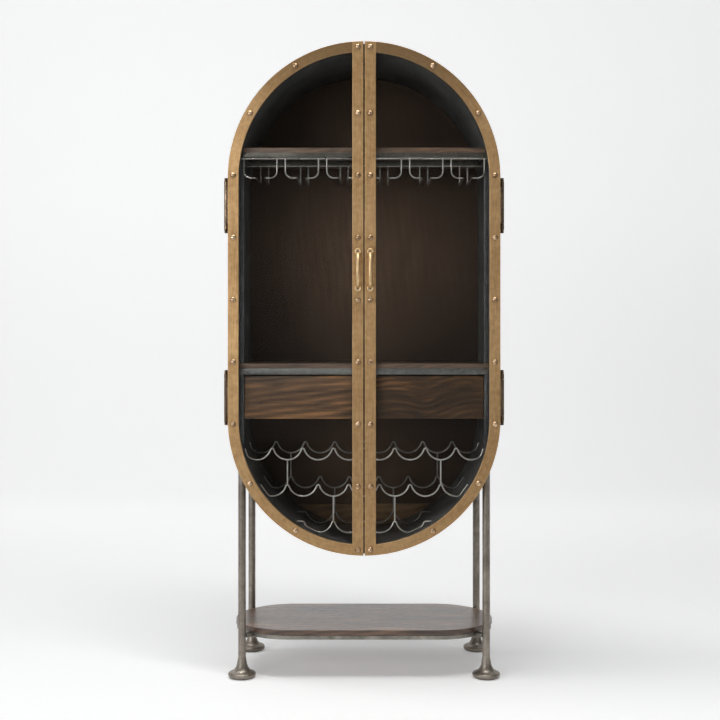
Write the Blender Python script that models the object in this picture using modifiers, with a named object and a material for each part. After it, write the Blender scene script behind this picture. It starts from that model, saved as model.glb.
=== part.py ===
"""Pill-shaped bar cabinet with two glazed doors, two drawers and wire racks, on four steel legs.

Lengths are in metres. X runs across the front, Y runs from front to back and Z runs up. Shapes are
drawn with Y measured from the middle of the case's depth, and the empty named cabinet carries them to
their place, with the origin under the middle of the whole object.
"""
import math

import bmesh
import bpy
from mathutils import Matrix, Vector

# Fits shared by all pieces
TOUCH_GAP = 0.0003
CUT_OVERRUN = 0.020
MERGE_DISTANCE = 0.000001

# Facets of round shapes
ARC_STEPS_PER_QUARTER = 15
LEG_SIDES = 12
HINGE_SIDES = 8
LUG_SIDES = 12
RIVET_SIDES = 8
WIRE_BEVEL_STEPS = 1
HANDLE_BEVEL_STEPS = 2
SMOOTH_ANGLE = math.radians(35)

# Case
CASE_CENTRE_HEIGHT = 1.193
CASE_STRAIGHT_HALF = 0.377
CASE_DEPTH = 0.376
SKIN_THICKNESS = 0.002
RIM_WIDTH = 0.030
RIM_THICKNESS = 0.003
LINER_THICKNESS = 0.0015
BACK_THICKNESS = 0.012
LOWER_BACK_BOARD_HEIGHT = 0.076
LOWER_BACK_BOARD_THICKNESS = 0.010

# Doors
DOOR_RADIUS = 0.425
DOOR_REVEAL = 0.003
DOOR_THICKNESS = 0.020
DOOR_STANDOFF = 0.0015
DOOR_MEETING_GAP = 0.0038
BAND_WIDTH = 0.034
STILE_WIDTH = 0.035
REBATE_WIDTH = 0.010
REBATE_DEPTH = 0.007
GLASS_THICKNESS = 0.004

# Rivet heads on the doors
RIVET_RADIUS = 0.009
RIVET_HEIGHT = 0.0062
RIVET_SINK = 0.0015
RIVET_TURN = math.radians(7)
RIVET_RING_DEGREES = (42, 78)
RIVET_PITCH_DEGREES = 29.0
RIVET_FIRST_DEGREES = 2.7
RIVET_STRAIGHT_PITCH = 0.194
RIVET_DROP = 0.0045
STILE_RIVET_END_MARGIN = 0.018
STILE_RIVET_STEPS = 3
ARC_RIVETS = 2
STRAIGHT_RIVET_STEPS = 2

# Bow handles
HANDLE_RISE = 0.0886
HANDLE_LUG_SPACING = 0.114
HANDLE_LUG_RADIUS = 0.0108
HANDLE_LUG_THICKNESS = 0.006
HANDLE_BAR_RADIUS = 0.0066
HANDLE_PROJECTION = 0.0302
HANDLE_SCREW_RADIUS = 0.0034
HANDLE_SCREW_DEPTH = 0.0016
HANDLE_END_RADIUS_SHARE = 0.86
HANDLE_END_OVERLAP_SHARE = 0.70
HANDLE_STEPS = 10

# Hinges
HINGE_BARREL_RADIUS = 0.0065
HINGE_PIN_RADIUS = 0.003
HINGE_BORE_CLEARANCE = 0.0003
HINGE_DOOR_CLEARANCE = 0.0005
HINGE_BARREL_LENGTH = 0.150
HINGE_END_KNUCKLE = 0.018
HINGE_KNUCKLE_GAP = 0.0005
HINGE_LEAF_THICKNESS = 0.0025
HINGE_CASE_LEAF_WIDTH = 0.036
HINGE_WEB_INSET = 0.001
HINGE_FINIAL_HEIGHT = 0.0115
UPPER_HINGE_RISE = 0.291
LOWER_HINGE_DROP = 0.310
FINIAL_PROFILE_SHARES = (
    (0.0, 1.0), (0.62, 0.97), (0.92, 0.82), (0.90, 0.62), (0.62, 0.54),
    (1.0, 0.44), (1.0, 0.20), (0.70, 0.12), (1.0, 0.0),
)

# Upper shelf and its frame
UPPER_SHELF_TOP_RISE = 0.475
UPPER_BOARD_THICKNESS = 0.0155
SHELF_FRONT_SETBACK = 0.012
UPPER_FRAME_HEIGHT = 0.015
UPPER_FRAME_BAR = 0.006

# Stemware rack
RACK_RAIL_RADIUS = 0.003
RACK_WIRE_RADIUS = 0.0025
RACK_DEPTH = 0.158
RACK_DROP = 0.0612
RACK_CHANNELS = 6
RACK_PITCH_SHARE = 0.3386
RACK_CHANNEL_HALF_SHARE = 0.3985
RACK_SLOT_HALF = 0.013
RACK_CORNER_RADIUS = 0.022
RACK_TURN_RADIUS = 0.008
RACK_BEND_STEPS = 2

# Middle shelf, uprights
MIDDLE_SHELF_TOP_DROP = 0.204
MIDDLE_BOARD_THICKNESS = 0.015
MIDDLE_BAND_HEIGHT = 0.0190
MIDDLE_BAND_THICKNESS = 0.006
UPRIGHT_WIDTH = 0.014
UPRIGHT_DEPTH = 0.012
LOWER_UPRIGHT_LENGTH = 0.215

# Drawers
DRAWER_FRONT_HEIGHT = 0.135
DRAWER_FRONT_THICKNESS = 0.018
DRAWER_FRONT_SETBACK = 0.016
DRAWER_TOP_GAP = 0.0045
DRAWER_MEETING_GAP = 0.003
DRAWER_SIDE_GAP = 0.0006
DRAWER_PULL_WIDTH = 0.120
DRAWER_PULL_HEIGHT = 0.008
DRAWER_PULL_DEPTH = 0.008
DRAWER_BOX_LENGTH = 0.300
DRAWER_BOX_HEIGHT = 0.100
DRAWER_WALL = 0.010
DRAWER_BOTTOM = 0.006
DRAWER_RUNNING_GAP = 0.0006
DIVIDER_THICKNESS = 0.012
RUNNER_WALL = 0.006
RUNNER_LEDGE = 0.010
RUNNER_LEDGE_THICKNESS = 0.006
RUNNER_HEIGHT = 0.030
RUNNER_LIFT = 0.002

# Wine rack
WINE_WIRE_RADIUS = 0.0025
WINE_ROW_COUNTS = (8, 7, 4)
WINE_PITCH_SHARE = 0.4497
WINE_SCALLOP_SHARE = 0.373
WINE_CREST_RADIUS = 0.005
WINE_SCALLOP_STEPS = 5
WINE_CREST_STEPS = 2
WINE_ROW_SPACING_SHARE = 0.2952
WINE_FIRST_CREST_SHARE = 0.2416
WINE_FRONT_SETBACK = 0.038
WINE_REAR_SPACING = 0.170
WINE_REAR_RISE = 0.006
UPPER_POST_PITCH_SHARE = 2.5
MIDDLE_POST_PITCH_SHARE = 1.0

# Legs and feet
LEG_RADIUS = 0.012
LEG_INSET = 0.037
LEG_SETBACK = 0.024
FOOT_RADIUS = 0.0438
FOOT_HEIGHT = 0.066
FOOT_PROFILE_SHARES = (
    (0.0, 1.0), (0.045, 0.86), (0.14, 0.62), (0.28, 0.46), (0.50, 0.34), (0.80, 0.275),
    (0.95, 0.23), (1.0, 0.17), (0.96, 0.09), (0.86, 0.03), (0.74, 0.0),
)

# Lower shelf
LOWER_SHELF_TOP = 0.1535
LOWER_BOARD_THICKNESS = 0.017
LOWER_SHELF_OVERHANG = 0.035
LOWER_RING_INSET = 0.003
LOWER_RING_BAR = 0.012
LOWER_RING_HEIGHT = 0.0135
LOWER_LUG_WIDTH = 0.018
LOWER_LUG_HEIGHT = 0.012

# Door catch
CATCH_HALF_WIDTH = 0.018
CATCH_HEIGHT = 0.016
CATCH_DEPTH = 0.018
CATCH_DOOR_GAP = 0.001

# Sizes that follow from the ones above
CASE_RADIUS = DOOR_RADIUS - DOOR_REVEAL
INTERIOR_RADIUS = CASE_RADIUS - RIM_WIDTH
CASE_FRONT = -CASE_DEPTH / 2
CASE_BACK = CASE_DEPTH / 2
BACK_PANEL_FRONT = CASE_BACK - BACK_THICKNESS
FACET_HALF_ANGLE = math.pi / 4 / ARC_STEPS_PER_QUARTER
INTERIOR_CLEAR_RADIUS = INTERIOR_RADIUS * math.cos(FACET_HALF_ANGLE) - TOUCH_GAP
INTERIOR_FLOOR = CASE_CENTRE_HEIGHT - CASE_STRAIGHT_HALF - INTERIOR_RADIUS
INTERIOR_TOP = CASE_CENTRE_HEIGHT + CASE_STRAIGHT_HALF + INTERIOR_RADIUS

DOOR_BACK = CASE_FRONT - DOOR_STANDOFF
DOOR_FRONT = DOOR_BACK - DOOR_THICKNESS
STILE_EDGE = DOOR_MEETING_GAP / 2
STILE_CENTRE = STILE_EDGE + STILE_WIDTH / 2
GLASS_FRONT = DOOR_BACK - REBATE_DEPTH + TOUCH_GAP
GLASS_BACK = GLASS_FRONT + GLASS_THICKNESS
BEAD_FRONT = GLASS_BACK + TOUCH_GAP
BAND_CENTRE_RADIUS = DOOR_RADIUS - BAND_WIDTH / 2

HINGE_AXIS_X = DOOR_RADIUS + HINGE_DOOR_CLEARANCE + HINGE_BARREL_RADIUS
HINGE_AXIS_Y = DOOR_BACK
HINGE_BORE_RADIUS = HINGE_PIN_RADIUS + HINGE_BORE_CLEARANCE

SHELF_FRONT = CASE_FRONT + SHELF_FRONT_SETBACK
UPPER_SHELF_TOP = CASE_CENTRE_HEIGHT + UPPER_SHELF_TOP_RISE
UPPER_BOARD_BOTTOM = UPPER_SHELF_TOP - UPPER_BOARD_THICKNESS
UPPER_FRAME_TOP = UPPER_BOARD_BOTTOM - TOUCH_GAP
UPPER_FRAME_BOTTOM = UPPER_FRAME_TOP - UPPER_FRAME_HEIGHT
RACK_FRONT = SHELF_FRONT + UPPER_FRAME_BAR / 2
RACK_BACK = RACK_FRONT + RACK_DEPTH
RACK_RAIL_HEIGHT = UPPER_FRAME_BOTTOM - TOUCH_GAP - RACK_RAIL_RADIUS
RACK_FLOOR = RACK_RAIL_HEIGHT - RACK_DROP
RACK_ABOVE_ARC = max(UPPER_FRAME_BOTTOM - CASE_CENTRE_HEIGHT - CASE_STRAIGHT_HALF, 0.0)
RACK_RAIL_HALF = math.sqrt(INTERIOR_CLEAR_RADIUS ** 2 - RACK_ABOVE_ARC ** 2)
RACK_PITCH = RACK_PITCH_SHARE * RACK_RAIL_HALF
RACK_CHANNEL_HALF = RACK_CHANNEL_HALF_SHARE * RACK_PITCH

MIDDLE_SHELF_TOP = CASE_CENTRE_HEIGHT - MIDDLE_SHELF_TOP_DROP
MIDDLE_BOARD_BOTTOM = MIDDLE_SHELF_TOP - MIDDLE_BOARD_THICKNESS
MIDDLE_BAND_TOP = MIDDLE_BOARD_BOTTOM - TOUCH_GAP
MIDDLE_BAND_BOTTOM = MIDDLE_BAND_TOP - MIDDLE_BAND_HEIGHT

DRAWER_FRONT_TOP = MIDDLE_BAND_BOTTOM - DRAWER_TOP_GAP
DRAWER_FRONT_BOTTOM = DRAWER_FRONT_TOP - DRAWER_FRONT_HEIGHT
DRAWER_FACE = CASE_FRONT + DRAWER_FRONT_SETBACK
DRAWER_FRONT_BACK = DRAWER_FACE + DRAWER_FRONT_THICKNESS
DRAWER_BOX_FRONT = DRAWER_FRONT_BACK + TOUCH_GAP
DRAWER_BOX_BACK = DRAWER_BOX_FRONT + DRAWER_BOX_LENGTH
LEDGE_BOTTOM = DRAWER_FRONT_BOTTOM + RUNNER_LIFT
LEDGE_TOP = LEDGE_BOTTOM + RUNNER_LEDGE_THICKNESS
DRAWER_BOX_BOTTOM = LEDGE_TOP + DRAWER_RUNNING_GAP
DIVIDER_SIDE = DIVIDER_THICKNESS / 2
RUNNER_FRONT = DRAWER_FRONT_BACK + RUNNER_LIFT
RUNNER_BACK = BACK_PANEL_FRONT - TOUCH_GAP

WINE_ROOM = DRAWER_FRONT_BOTTOM - INTERIOR_FLOOR
WINE_FIRST_CREST = DRAWER_FRONT_BOTTOM - WINE_FIRST_CREST_SHARE * WINE_ROOM
WINE_ROW_SPACING = WINE_ROW_SPACING_SHARE * WINE_ROOM
WINE_LAST_CREST = WINE_FIRST_CREST - (len(WINE_ROW_COUNTS) - 1) * WINE_ROW_SPACING
WINE_LAST_BELOW_ARC = max(CASE_CENTRE_HEIGHT - CASE_STRAIGHT_HALF - WINE_LAST_CREST, 0.0)
WINE_LAST_HALF_WIDTH = math.sqrt(INTERIOR_CLEAR_RADIUS ** 2 - WINE_LAST_BELOW_ARC ** 2)
WINE_PITCH = WINE_PITCH_SHARE * WINE_LAST_HALF_WIDTH
WINE_SCALLOP_DEPTH = WINE_SCALLOP_SHARE * WINE_PITCH
WINE_FRONT = CASE_FRONT + WINE_FRONT_SETBACK
WINE_REAR = WINE_FRONT + WINE_REAR_SPACING

LEG_X = CASE_RADIUS - LEG_INSET
LEG_Y = CASE_BACK - LEG_SETBACK
LOWER_SHELF_RADIUS = CASE_BACK
LOWER_SHELF_HALF = LEG_X + LOWER_SHELF_OVERHANG
LOWER_SHELF_STRAIGHT = LOWER_SHELF_HALF - LOWER_SHELF_RADIUS
LOWER_BOARD_BOTTOM = LOWER_SHELF_TOP - LOWER_BOARD_THICKNESS
LOWER_RING_TOP = LOWER_BOARD_BOTTOM - TOUCH_GAP
LOWER_RING_RADIUS = LOWER_SHELF_RADIUS - LOWER_RING_INSET

HANDLE_LUG_CENTRE_Y = DOOR_FRONT - TOUCH_GAP - HANDLE_LUG_THICKNESS / 2
FRONT_REACH = HANDLE_PROJECTION + HANDLE_BAR_RADIUS - HANDLE_LUG_CENTRE_Y
BACK_REACH = LEG_Y + FOOT_RADIUS
CABINET_SHIFT = (FRONT_REACH - BACK_REACH) / 2


# Finishes
FINISHES = {
    "aged_brass": ((0.46, 0.30, 0.14), 0.38, 1.0),
    "polished_brass": ((0.62, 0.40, 0.16), 0.24, 1.0),
    "blackened_steel": ((0.05, 0.055, 0.06), 0.5, 0.8),
    "pewter_steel": ((0.20, 0.18, 0.155), 0.45, 0.9),
    "shelf_steel": ((0.17, 0.175, 0.17), 0.45, 0.9),
    "wire_steel": ((0.42, 0.41, 0.39), 0.35, 0.9),
    "dark_wood": ((0.055, 0.032, 0.022), 0.55, 0.0),
    "brown_wood": ((0.13, 0.075, 0.045), 0.5, 0.0),
    "drawer_wood": ((0.42, 0.30, 0.19), 0.6, 0.0),
    "clear_glass": ((0.85, 0.9, 0.9), 0.05, 0.0),
}


def clear_scene():
    """Removes what the default scene holds."""
    for item in list(bpy.data.objects):
        bpy.data.objects.remove(item, do_unlink=True)


def make_material(name):
    """Returns the Principled material of one finish."""
    colour, roughness, metallic = FINISHES[name]
    material = bpy.data.materials.new(name)
    material.use_nodes = True
    shader = material.node_tree.nodes["Principled BSDF"]
    shader.inputs["Base Color"].default_value = (*colour, 1.0)
    shader.inputs["Roughness"].default_value = roughness
    shader.inputs["Metallic"].default_value = metallic
    material.diffuse_color = (*colour, 1.0)
    return material


def settled_mesh(item):
    """Returns an object's evaluated shape as a welded mesh in world space, and removes the object."""
    bpy.context.view_layer.update()
    depsgraph = bpy.context.evaluated_depsgraph_get()
    mesh = bpy.data.meshes.new_from_object(item.evaluated_get(depsgraph))
    mesh.transform(item.matrix_world)
    bpy.data.objects.remove(item, do_unlink=True)
    shape = bmesh.new()
    shape.from_mesh(mesh)
    bmesh.ops.remove_doubles(shape, verts=shape.verts, dist=MERGE_DISTANCE)
    bmesh.ops.recalc_face_normals(shape, faces=shape.faces)
    shape.to_mesh(mesh)
    shape.free()
    return mesh


def placed(data):
    """Puts mesh or curve data in the scene as a new object."""
    item = bpy.data.objects.new("shape", data)
    bpy.context.scene.collection.objects.link(item)
    return item


def boolean(base, tool, operation):
    """Joins, cuts or intersects two meshes and returns the result."""
    base_item = placed(base)
    tool_item = placed(tool)
    modifier = base_item.modifiers.new("boolean", "BOOLEAN")
    modifier.operation = operation
    modifier.solver = "EXACT"
    modifier.object = tool_item
    result = settled_mesh(base_item)
    bpy.data.objects.remove(tool_item, do_unlink=True)
    return result


def united(meshes):
    """Joins overlapping meshes into one body."""
    result = meshes[0]
    for mesh in meshes[1:]:
        result = boolean(result, mesh, "UNION")
    return result


def gathered(meshes):
    """Puts separate meshes that do not touch into one mesh."""
    shape = bmesh.new()
    for mesh in meshes:
        shape.from_mesh(mesh)
    mesh = bpy.data.meshes.new("gathered")
    shape.to_mesh(mesh)
    shape.free()
    return mesh


def box(low, high):
    """Returns a box between two corners, given in any order."""
    low_corner = Vector([min(pair) for pair in zip(low, high)])
    high_corner = Vector([max(pair) for pair in zip(low, high)])
    size = high_corner - low_corner
    centre = (low_corner + high_corner) / 2
    shape = bmesh.new()
    bmesh.ops.create_cube(shape, size=1.0, matrix=Matrix.Translation(centre) @ Matrix.Diagonal((*size, 1.0)))
    mesh = bpy.data.meshes.new("box")
    shape.to_mesh(mesh)
    shape.free()
    return mesh


def cylinder(radius, low, high, sides):
    """Returns a cylinder between two points, with its first side centred on an axis."""
    low_point = Vector(low)
    high_point = Vector(high)
    along = high_point - low_point
    turn = along.to_track_quat("Z", "Y").to_matrix().to_4x4()
    matrix = Matrix.Translation((low_point + high_point) / 2) @ turn
    shape = bmesh.new()
    bmesh.ops.create_cone(shape, cap_ends=True, segments=sides, radius1=radius, radius2=radius,
                          depth=along.length, matrix=matrix)
    mesh = bpy.data.meshes.new("cylinder")
    shape.to_mesh(mesh)
    shape.free()
    return mesh


def plate(outlines, front, back):
    """Returns a flat shape in the XZ plane: the first outline, less the others, from front to back."""
    curve = bpy.data.curves.new("outline", "CURVE")
    curve.dimensions = "2D"
    curve.fill_mode = "BOTH"
    curve.extrude = (back - front) / 2
    for outline in outlines:
        spline = curve.splines.new("POLY")
        spline.points.add(len(outline) - 1)
        spline.use_cyclic_u = True
        for point, (across, up) in zip(spline.points, outline):
            point.co = (across, up, 0.0, 1.0)
    item = placed(curve)
    item.rotation_euler = (math.pi / 2, 0.0, 0.0)
    item.location = (0.0, (front + back) / 2, 0.0)
    return settled_mesh(item)


def slab(outlines, low, high):
    """Returns a flat shape in the XY plane between two heights."""
    mesh = plate(outlines, -high, -low)
    mesh.transform(Matrix.Rotation(-math.pi / 2, 4, "X"))
    return mesh


def turned(profile, sides, base):
    """Returns a profile of (radius, height) points, top to bottom, turned about a vertical axis."""
    shape = bmesh.new()
    corners = [shape.verts.new((radius, 0.0, height)) for radius, height in profile]
    for first, second in zip(corners, corners[1:]):
        shape.edges.new((first, second))
    mesh = bpy.data.meshes.new("profile")
    shape.to_mesh(mesh)
    shape.free()
    item = placed(mesh)
    item.location = base
    modifier = item.modifiers.new("turn", "SCREW")
    modifier.steps = sides
    modifier.render_steps = sides
    modifier.use_merge_vertices = True
    modifier.merge_threshold = MERGE_DISTANCE
    return settled_mesh(item)


def wire(points, radius, bevel_steps=WIRE_BEVEL_STEPS, radius_shares=None):
    """Returns a round wire along points, with closed ends."""
    curve = bpy.data.curves.new("wire", "CURVE")
    curve.dimensions = "3D"
    curve.bevel_depth = radius
    curve.bevel_resolution = bevel_steps
    curve.use_fill_caps = True
    curve.twist_mode = "MINIMUM"
    spline = curve.splines.new("POLY")
    spline.points.add(len(points) - 1)
    shares = radius_shares or [1.0] * len(points)
    for point, place, share in zip(spline.points, points, shares):
        point.co = (*place, 1.0)
        point.radius = share
    return settled_mesh(placed(curve))


def arc(centre, radius, first_degrees, last_degrees, steps):
    """Returns (across, up) points on an arc, with angles counted from the first axis."""
    points = []
    for step in range(steps + 1):
        angle = math.radians(first_degrees + (last_degrees - first_degrees) * step / steps)
        points.append((centre[0] + radius * math.cos(angle), centre[1] + radius * math.sin(angle)))
    return points


def pill(radius, straight_half, centre=0.0):
    """Returns an outline of two half circles joined by straight sides, long in the second axis."""
    steps = 2 * ARC_STEPS_PER_QUARTER
    top = arc((0.0, centre + straight_half), radius, 0, 180, steps)
    bottom = arc((0.0, centre - straight_half), radius, 180, 360, steps)
    return top + bottom


def case_pill(radius):
    """Returns the case's outline at a given end radius."""
    return pill(radius, CASE_STRAIGHT_HALF, CASE_CENTRE_HEIGHT)


def door_outline(side, radius, stile_edge):
    """Returns half of the case's outline, closed by a straight stile edge."""
    lean = math.degrees(math.asin(stile_edge / radius))
    step = 90 / ARC_STEPS_PER_QUARTER
    leans = [lean]
    leans += [step * count for count in range(1, ARC_STEPS_PER_QUARTER + 1) if step * count > lean]
    turns = [math.radians(angle) for angle in leans]
    quarter = [(side * radius * math.sin(turn), CASE_STRAIGHT_HALF + radius * math.cos(turn)) for turn in turns]
    top = [(across, CASE_CENTRE_HEIGHT + up) for across, up in quarter]
    bottom = [(across, CASE_CENTRE_HEIGHT - up) for across, up in reversed(quarter)]
    return top + bottom


def half_width(height, radius):
    """Returns how far the case's outline of a given end radius lies from the middle at a height."""
    beyond = max(abs(height - CASE_CENTRE_HEIGHT) - CASE_STRAIGHT_HALF, 0.0)
    return math.sqrt(max(radius ** 2 - beyond ** 2, 0.0))


def fitted(mesh):
    """Returns what of a mesh lies inside the case's liner, a touching gap from it."""
    inside = plate([case_pill(INTERIOR_RADIUS - TOUCH_GAP)], CASE_FRONT - CUT_OVERRUN, CASE_BACK)
    return boolean(mesh, inside, "INTERSECT")


def carrier(name, place, parent=None):
    """Adds an empty that carries pieces; its place is given in the case's own coordinates."""
    empty = bpy.data.objects.new(name, None)
    bpy.context.scene.collection.objects.link(empty)
    empty.parent = parent
    empty.location = place
    return empty


def piece(name, mesh, finish, holder):
    """Adds one named sub-part, drawn in the case's coordinates, to the empty that carries it."""
    item = bpy.data.objects.new(name, mesh)
    mesh.name = name
    mesh.materials.clear()
    mesh.materials.append(MATERIALS[finish])
    mesh.shade_smooth()
    mesh.set_sharp_from_angle(angle=SMOOTH_ANGLE)
    PARTS.objects.link(item)
    item.parent = holder
    if holder.parent is not None:
        item.matrix_parent_inverse = Matrix.Translation(-holder.location)
    return item


def build_case(holder):
    """Builds the skin, liner, rim, back and the board low on the back."""
    skin = [case_pill(CASE_RADIUS), case_pill(CASE_RADIUS - SKIN_THICKNESS)]
    piece("outer_skin", plate(skin, CASE_FRONT, CASE_BACK), "pewter_steel", holder)
    inner_edge = CASE_RADIUS - SKIN_THICKNESS - TOUCH_GAP
    rim_back = CASE_FRONT + RIM_THICKNESS
    rim = [case_pill(inner_edge), case_pill(INTERIOR_RADIUS)]
    piece("front_rim", plate(rim, CASE_FRONT, rim_back), "blackened_steel", holder)
    liner = [case_pill(INTERIOR_RADIUS + LINER_THICKNESS), case_pill(INTERIOR_RADIUS)]
    liner_mesh = plate(liner, rim_back + TOUCH_GAP, BACK_PANEL_FRONT - TOUCH_GAP)
    piece("inner_liner", liner_mesh, "blackened_steel", holder)
    piece("back_panel", plate([case_pill(inner_edge)], BACK_PANEL_FRONT, CASE_BACK), "dark_wood", holder)
    board_back = BACK_PANEL_FRONT - TOUCH_GAP
    board_low = (-CASE_RADIUS, board_back - LOWER_BACK_BOARD_THICKNESS, INTERIOR_FLOOR - CUT_OVERRUN)
    board_high = (CASE_RADIUS, board_back, INTERIOR_FLOOR + LOWER_BACK_BOARD_HEIGHT)
    piece("lower_back_board", fitted(box(board_low, board_high)), "brown_wood", holder)
    catch_front = DOOR_BACK + CATCH_DOOR_GAP
    catch_low = (-CATCH_HALF_WIDTH, catch_front, INTERIOR_TOP - CATCH_HEIGHT)
    catch_high = (CATCH_HALF_WIDTH, catch_front + CATCH_DEPTH, INTERIOR_TOP + CUT_OVERRUN)
    piece("door_catch", fitted(box(catch_low, catch_high)), "blackened_steel", holder)


def build_shelves(holder):
    """Builds the two inner shelves with their steel fronts, and the upright strips between them."""
    shelf_back = BACK_PANEL_FRONT - TOUCH_GAP
    upper_low = (-CASE_RADIUS, SHELF_FRONT, UPPER_BOARD_BOTTOM)
    upper_high = (CASE_RADIUS, shelf_back, UPPER_SHELF_TOP)
    piece("upper_shelf_board", fitted(box(upper_low, upper_high)), "dark_wood", holder)
    frame_half = half_width(UPPER_FRAME_TOP, INTERIOR_CLEAR_RADIUS)
    frame_back = RACK_BACK + UPPER_FRAME_BAR / 2
    outer = box((-frame_half, SHELF_FRONT, UPPER_FRAME_BOTTOM), (frame_half, frame_back, UPPER_FRAME_TOP))
    inner_half = frame_half - UPPER_FRAME_BAR
    inner_low = (-inner_half, SHELF_FRONT + UPPER_FRAME_BAR, UPPER_FRAME_BOTTOM - CUT_OVERRUN)
    inner_high = (inner_half, frame_back - UPPER_FRAME_BAR, UPPER_FRAME_TOP + CUT_OVERRUN)
    frame = boolean(outer, box(inner_low, inner_high), "DIFFERENCE")
    piece("upper_shelf_frame", frame, "shelf_steel", holder)
    middle_low = (-CASE_RADIUS, SHELF_FRONT, MIDDLE_BOARD_BOTTOM)
    middle_high = (CASE_RADIUS, shelf_back, MIDDLE_SHELF_TOP)
    piece("middle_shelf_board", fitted(box(middle_low, middle_high)), "dark_wood", holder)
    band_low = (-CASE_RADIUS, SHELF_FRONT, MIDDLE_BAND_BOTTOM)
    band_high = (CASE_RADIUS, SHELF_FRONT + MIDDLE_BAND_THICKNESS, MIDDLE_BAND_TOP)
    piece("middle_shelf_band", fitted(box(band_low, band_high)), "shelf_steel", holder)
    for side, side_name in ((-1, "left"), (1, "right")):
        inner_face = side * (INTERIOR_RADIUS - UPRIGHT_WIDTH)
        upper_front = RACK_FRONT + RACK_RAIL_RADIUS + TOUCH_GAP
        upper = box((inner_face, upper_front, MIDDLE_SHELF_TOP + TOUCH_GAP),
                    (side * CASE_RADIUS, upper_front + UPRIGHT_DEPTH, UPPER_FRAME_BOTTOM - TOUCH_GAP))
        piece(f"{side_name}_upper_upright", fitted(upper), "shelf_steel", holder)
        lower = box((inner_face, SHELF_FRONT, MIDDLE_BAND_BOTTOM - TOUCH_GAP - LOWER_UPRIGHT_LENGTH),
                    (side * CASE_RADIUS, SHELF_FRONT + UPRIGHT_DEPTH, MIDDLE_BAND_BOTTOM - TOUCH_GAP))
        piece(f"{side_name}_lower_upright", fitted(lower), "shelf_steel", holder)


def channel_side(centre, side):
    """Returns one half of a stemware channel: down from the front rail, in, back and up again."""
    outer = centre + side * RACK_CHANNEL_HALF
    slot = centre + side * RACK_SLOT_HALF
    corner = RACK_CORNER_RADIUS
    turn = RACK_TURN_RADIUS
    points = [(outer, RACK_FRONT, RACK_RAIL_HEIGHT)]
    for across, up in arc((0.0, 0.0), corner, 0, -90, RACK_BEND_STEPS):
        points.append((outer + side * (across - corner), RACK_FRONT, RACK_FLOOR + corner + up))
    for across, back in arc((0.0, 0.0), turn, -90, -180, RACK_BEND_STEPS):
        points.append((slot + side * (across + turn), RACK_FRONT + turn + back, RACK_FLOOR))
    for back, up in arc((0.0, 0.0), turn, -90, 0, RACK_BEND_STEPS):
        points.append((slot, RACK_BACK - turn + back, RACK_FLOOR + turn + up))
    points.append((slot, RACK_BACK, RACK_RAIL_HEIGHT))
    return wire(points, RACK_WIRE_RADIUS)


def build_stemware_rack(holder):
    """Builds the wire rack that hangs stemware under the upper shelf."""
    rails = []
    for depth in (RACK_FRONT, RACK_BACK):
        ends = [(-RACK_RAIL_HALF, depth, RACK_RAIL_HEIGHT), (RACK_RAIL_HALF, depth, RACK_RAIL_HEIGHT)]
        rails.append(wire(ends, RACK_RAIL_RADIUS))
    channels = []
    for count in range(RACK_CHANNELS):
        centre = (count - (RACK_CHANNELS - 1) / 2) * RACK_PITCH
        channels += [channel_side(centre, -1), channel_side(centre, 1)]
    rack = boolean(gathered(rails), gathered(channels), "UNION")
    piece("stemware_rack", rack, "wire_steel", holder)


def inside_wall(across, up, clearance):
    """Returns a point drawn in towards the case's middle until it clears the liner."""
    middle = min(max(up, CASE_CENTRE_HEIGHT - CASE_STRAIGHT_HALF), CASE_CENTRE_HEIGHT + CASE_STRAIGHT_HALF)
    reach = math.hypot(across, up - middle)
    limit = INTERIOR_CLEAR_RADIUS - clearance
    share = min(1.0, limit / reach) if reach > 0 else 1.0
    return across * share, middle + (up - middle) * share


def row_path(crest, count, depth):
    """Returns the points of one wavy wire, which lies against the liner at both ends."""
    rise = WINE_SCALLOP_DEPTH
    crest_radius = WINE_CREST_RADIUS
    scallop_radius = ((WINE_PITCH / 2) ** 2 + rise ** 2 - 2 * rise * crest_radius) / (2 * rise)
    sweep = math.degrees(math.asin(WINE_PITCH / 2 / (scallop_radius + crest_radius)))
    first = -(count - 1) / 2 * WINE_PITCH
    path = []
    for number in range(count):
        middle = first + number * WINE_PITCH
        bowl = arc((middle, crest - rise + scallop_radius), scallop_radius, -90 - sweep, -90 + sweep,
                   WINE_SCALLOP_STEPS)
        path += bowl
        if number < count - 1:
            top = (middle + WINE_PITCH / 2, crest - crest_radius)
            path += arc(top, crest_radius, 90 + sweep, 90 - sweep, WINE_CREST_STEPS)[1:-1]
    end = half_width(crest - WINE_WIRE_RADIUS, INTERIOR_CLEAR_RADIUS)
    last_top = (count / 2 * WINE_PITCH, crest - crest_radius)
    if end - last_top[0] > crest_radius:
        over = arc(last_top, crest_radius, 90 + sweep, 90, WINE_CREST_STEPS)[1:] + [(end, crest)]
        before = [(-across, up) for across, up in reversed(over)]
        inner = [inside_wall(across, up, WINE_WIRE_RADIUS) for across, up in path]
        path = before + inner + over
    else:
        path = [inside_wall(across, up, WINE_WIRE_RADIUS) for across, up in path]
    return [(across, depth, up) for across, up in path]


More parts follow.
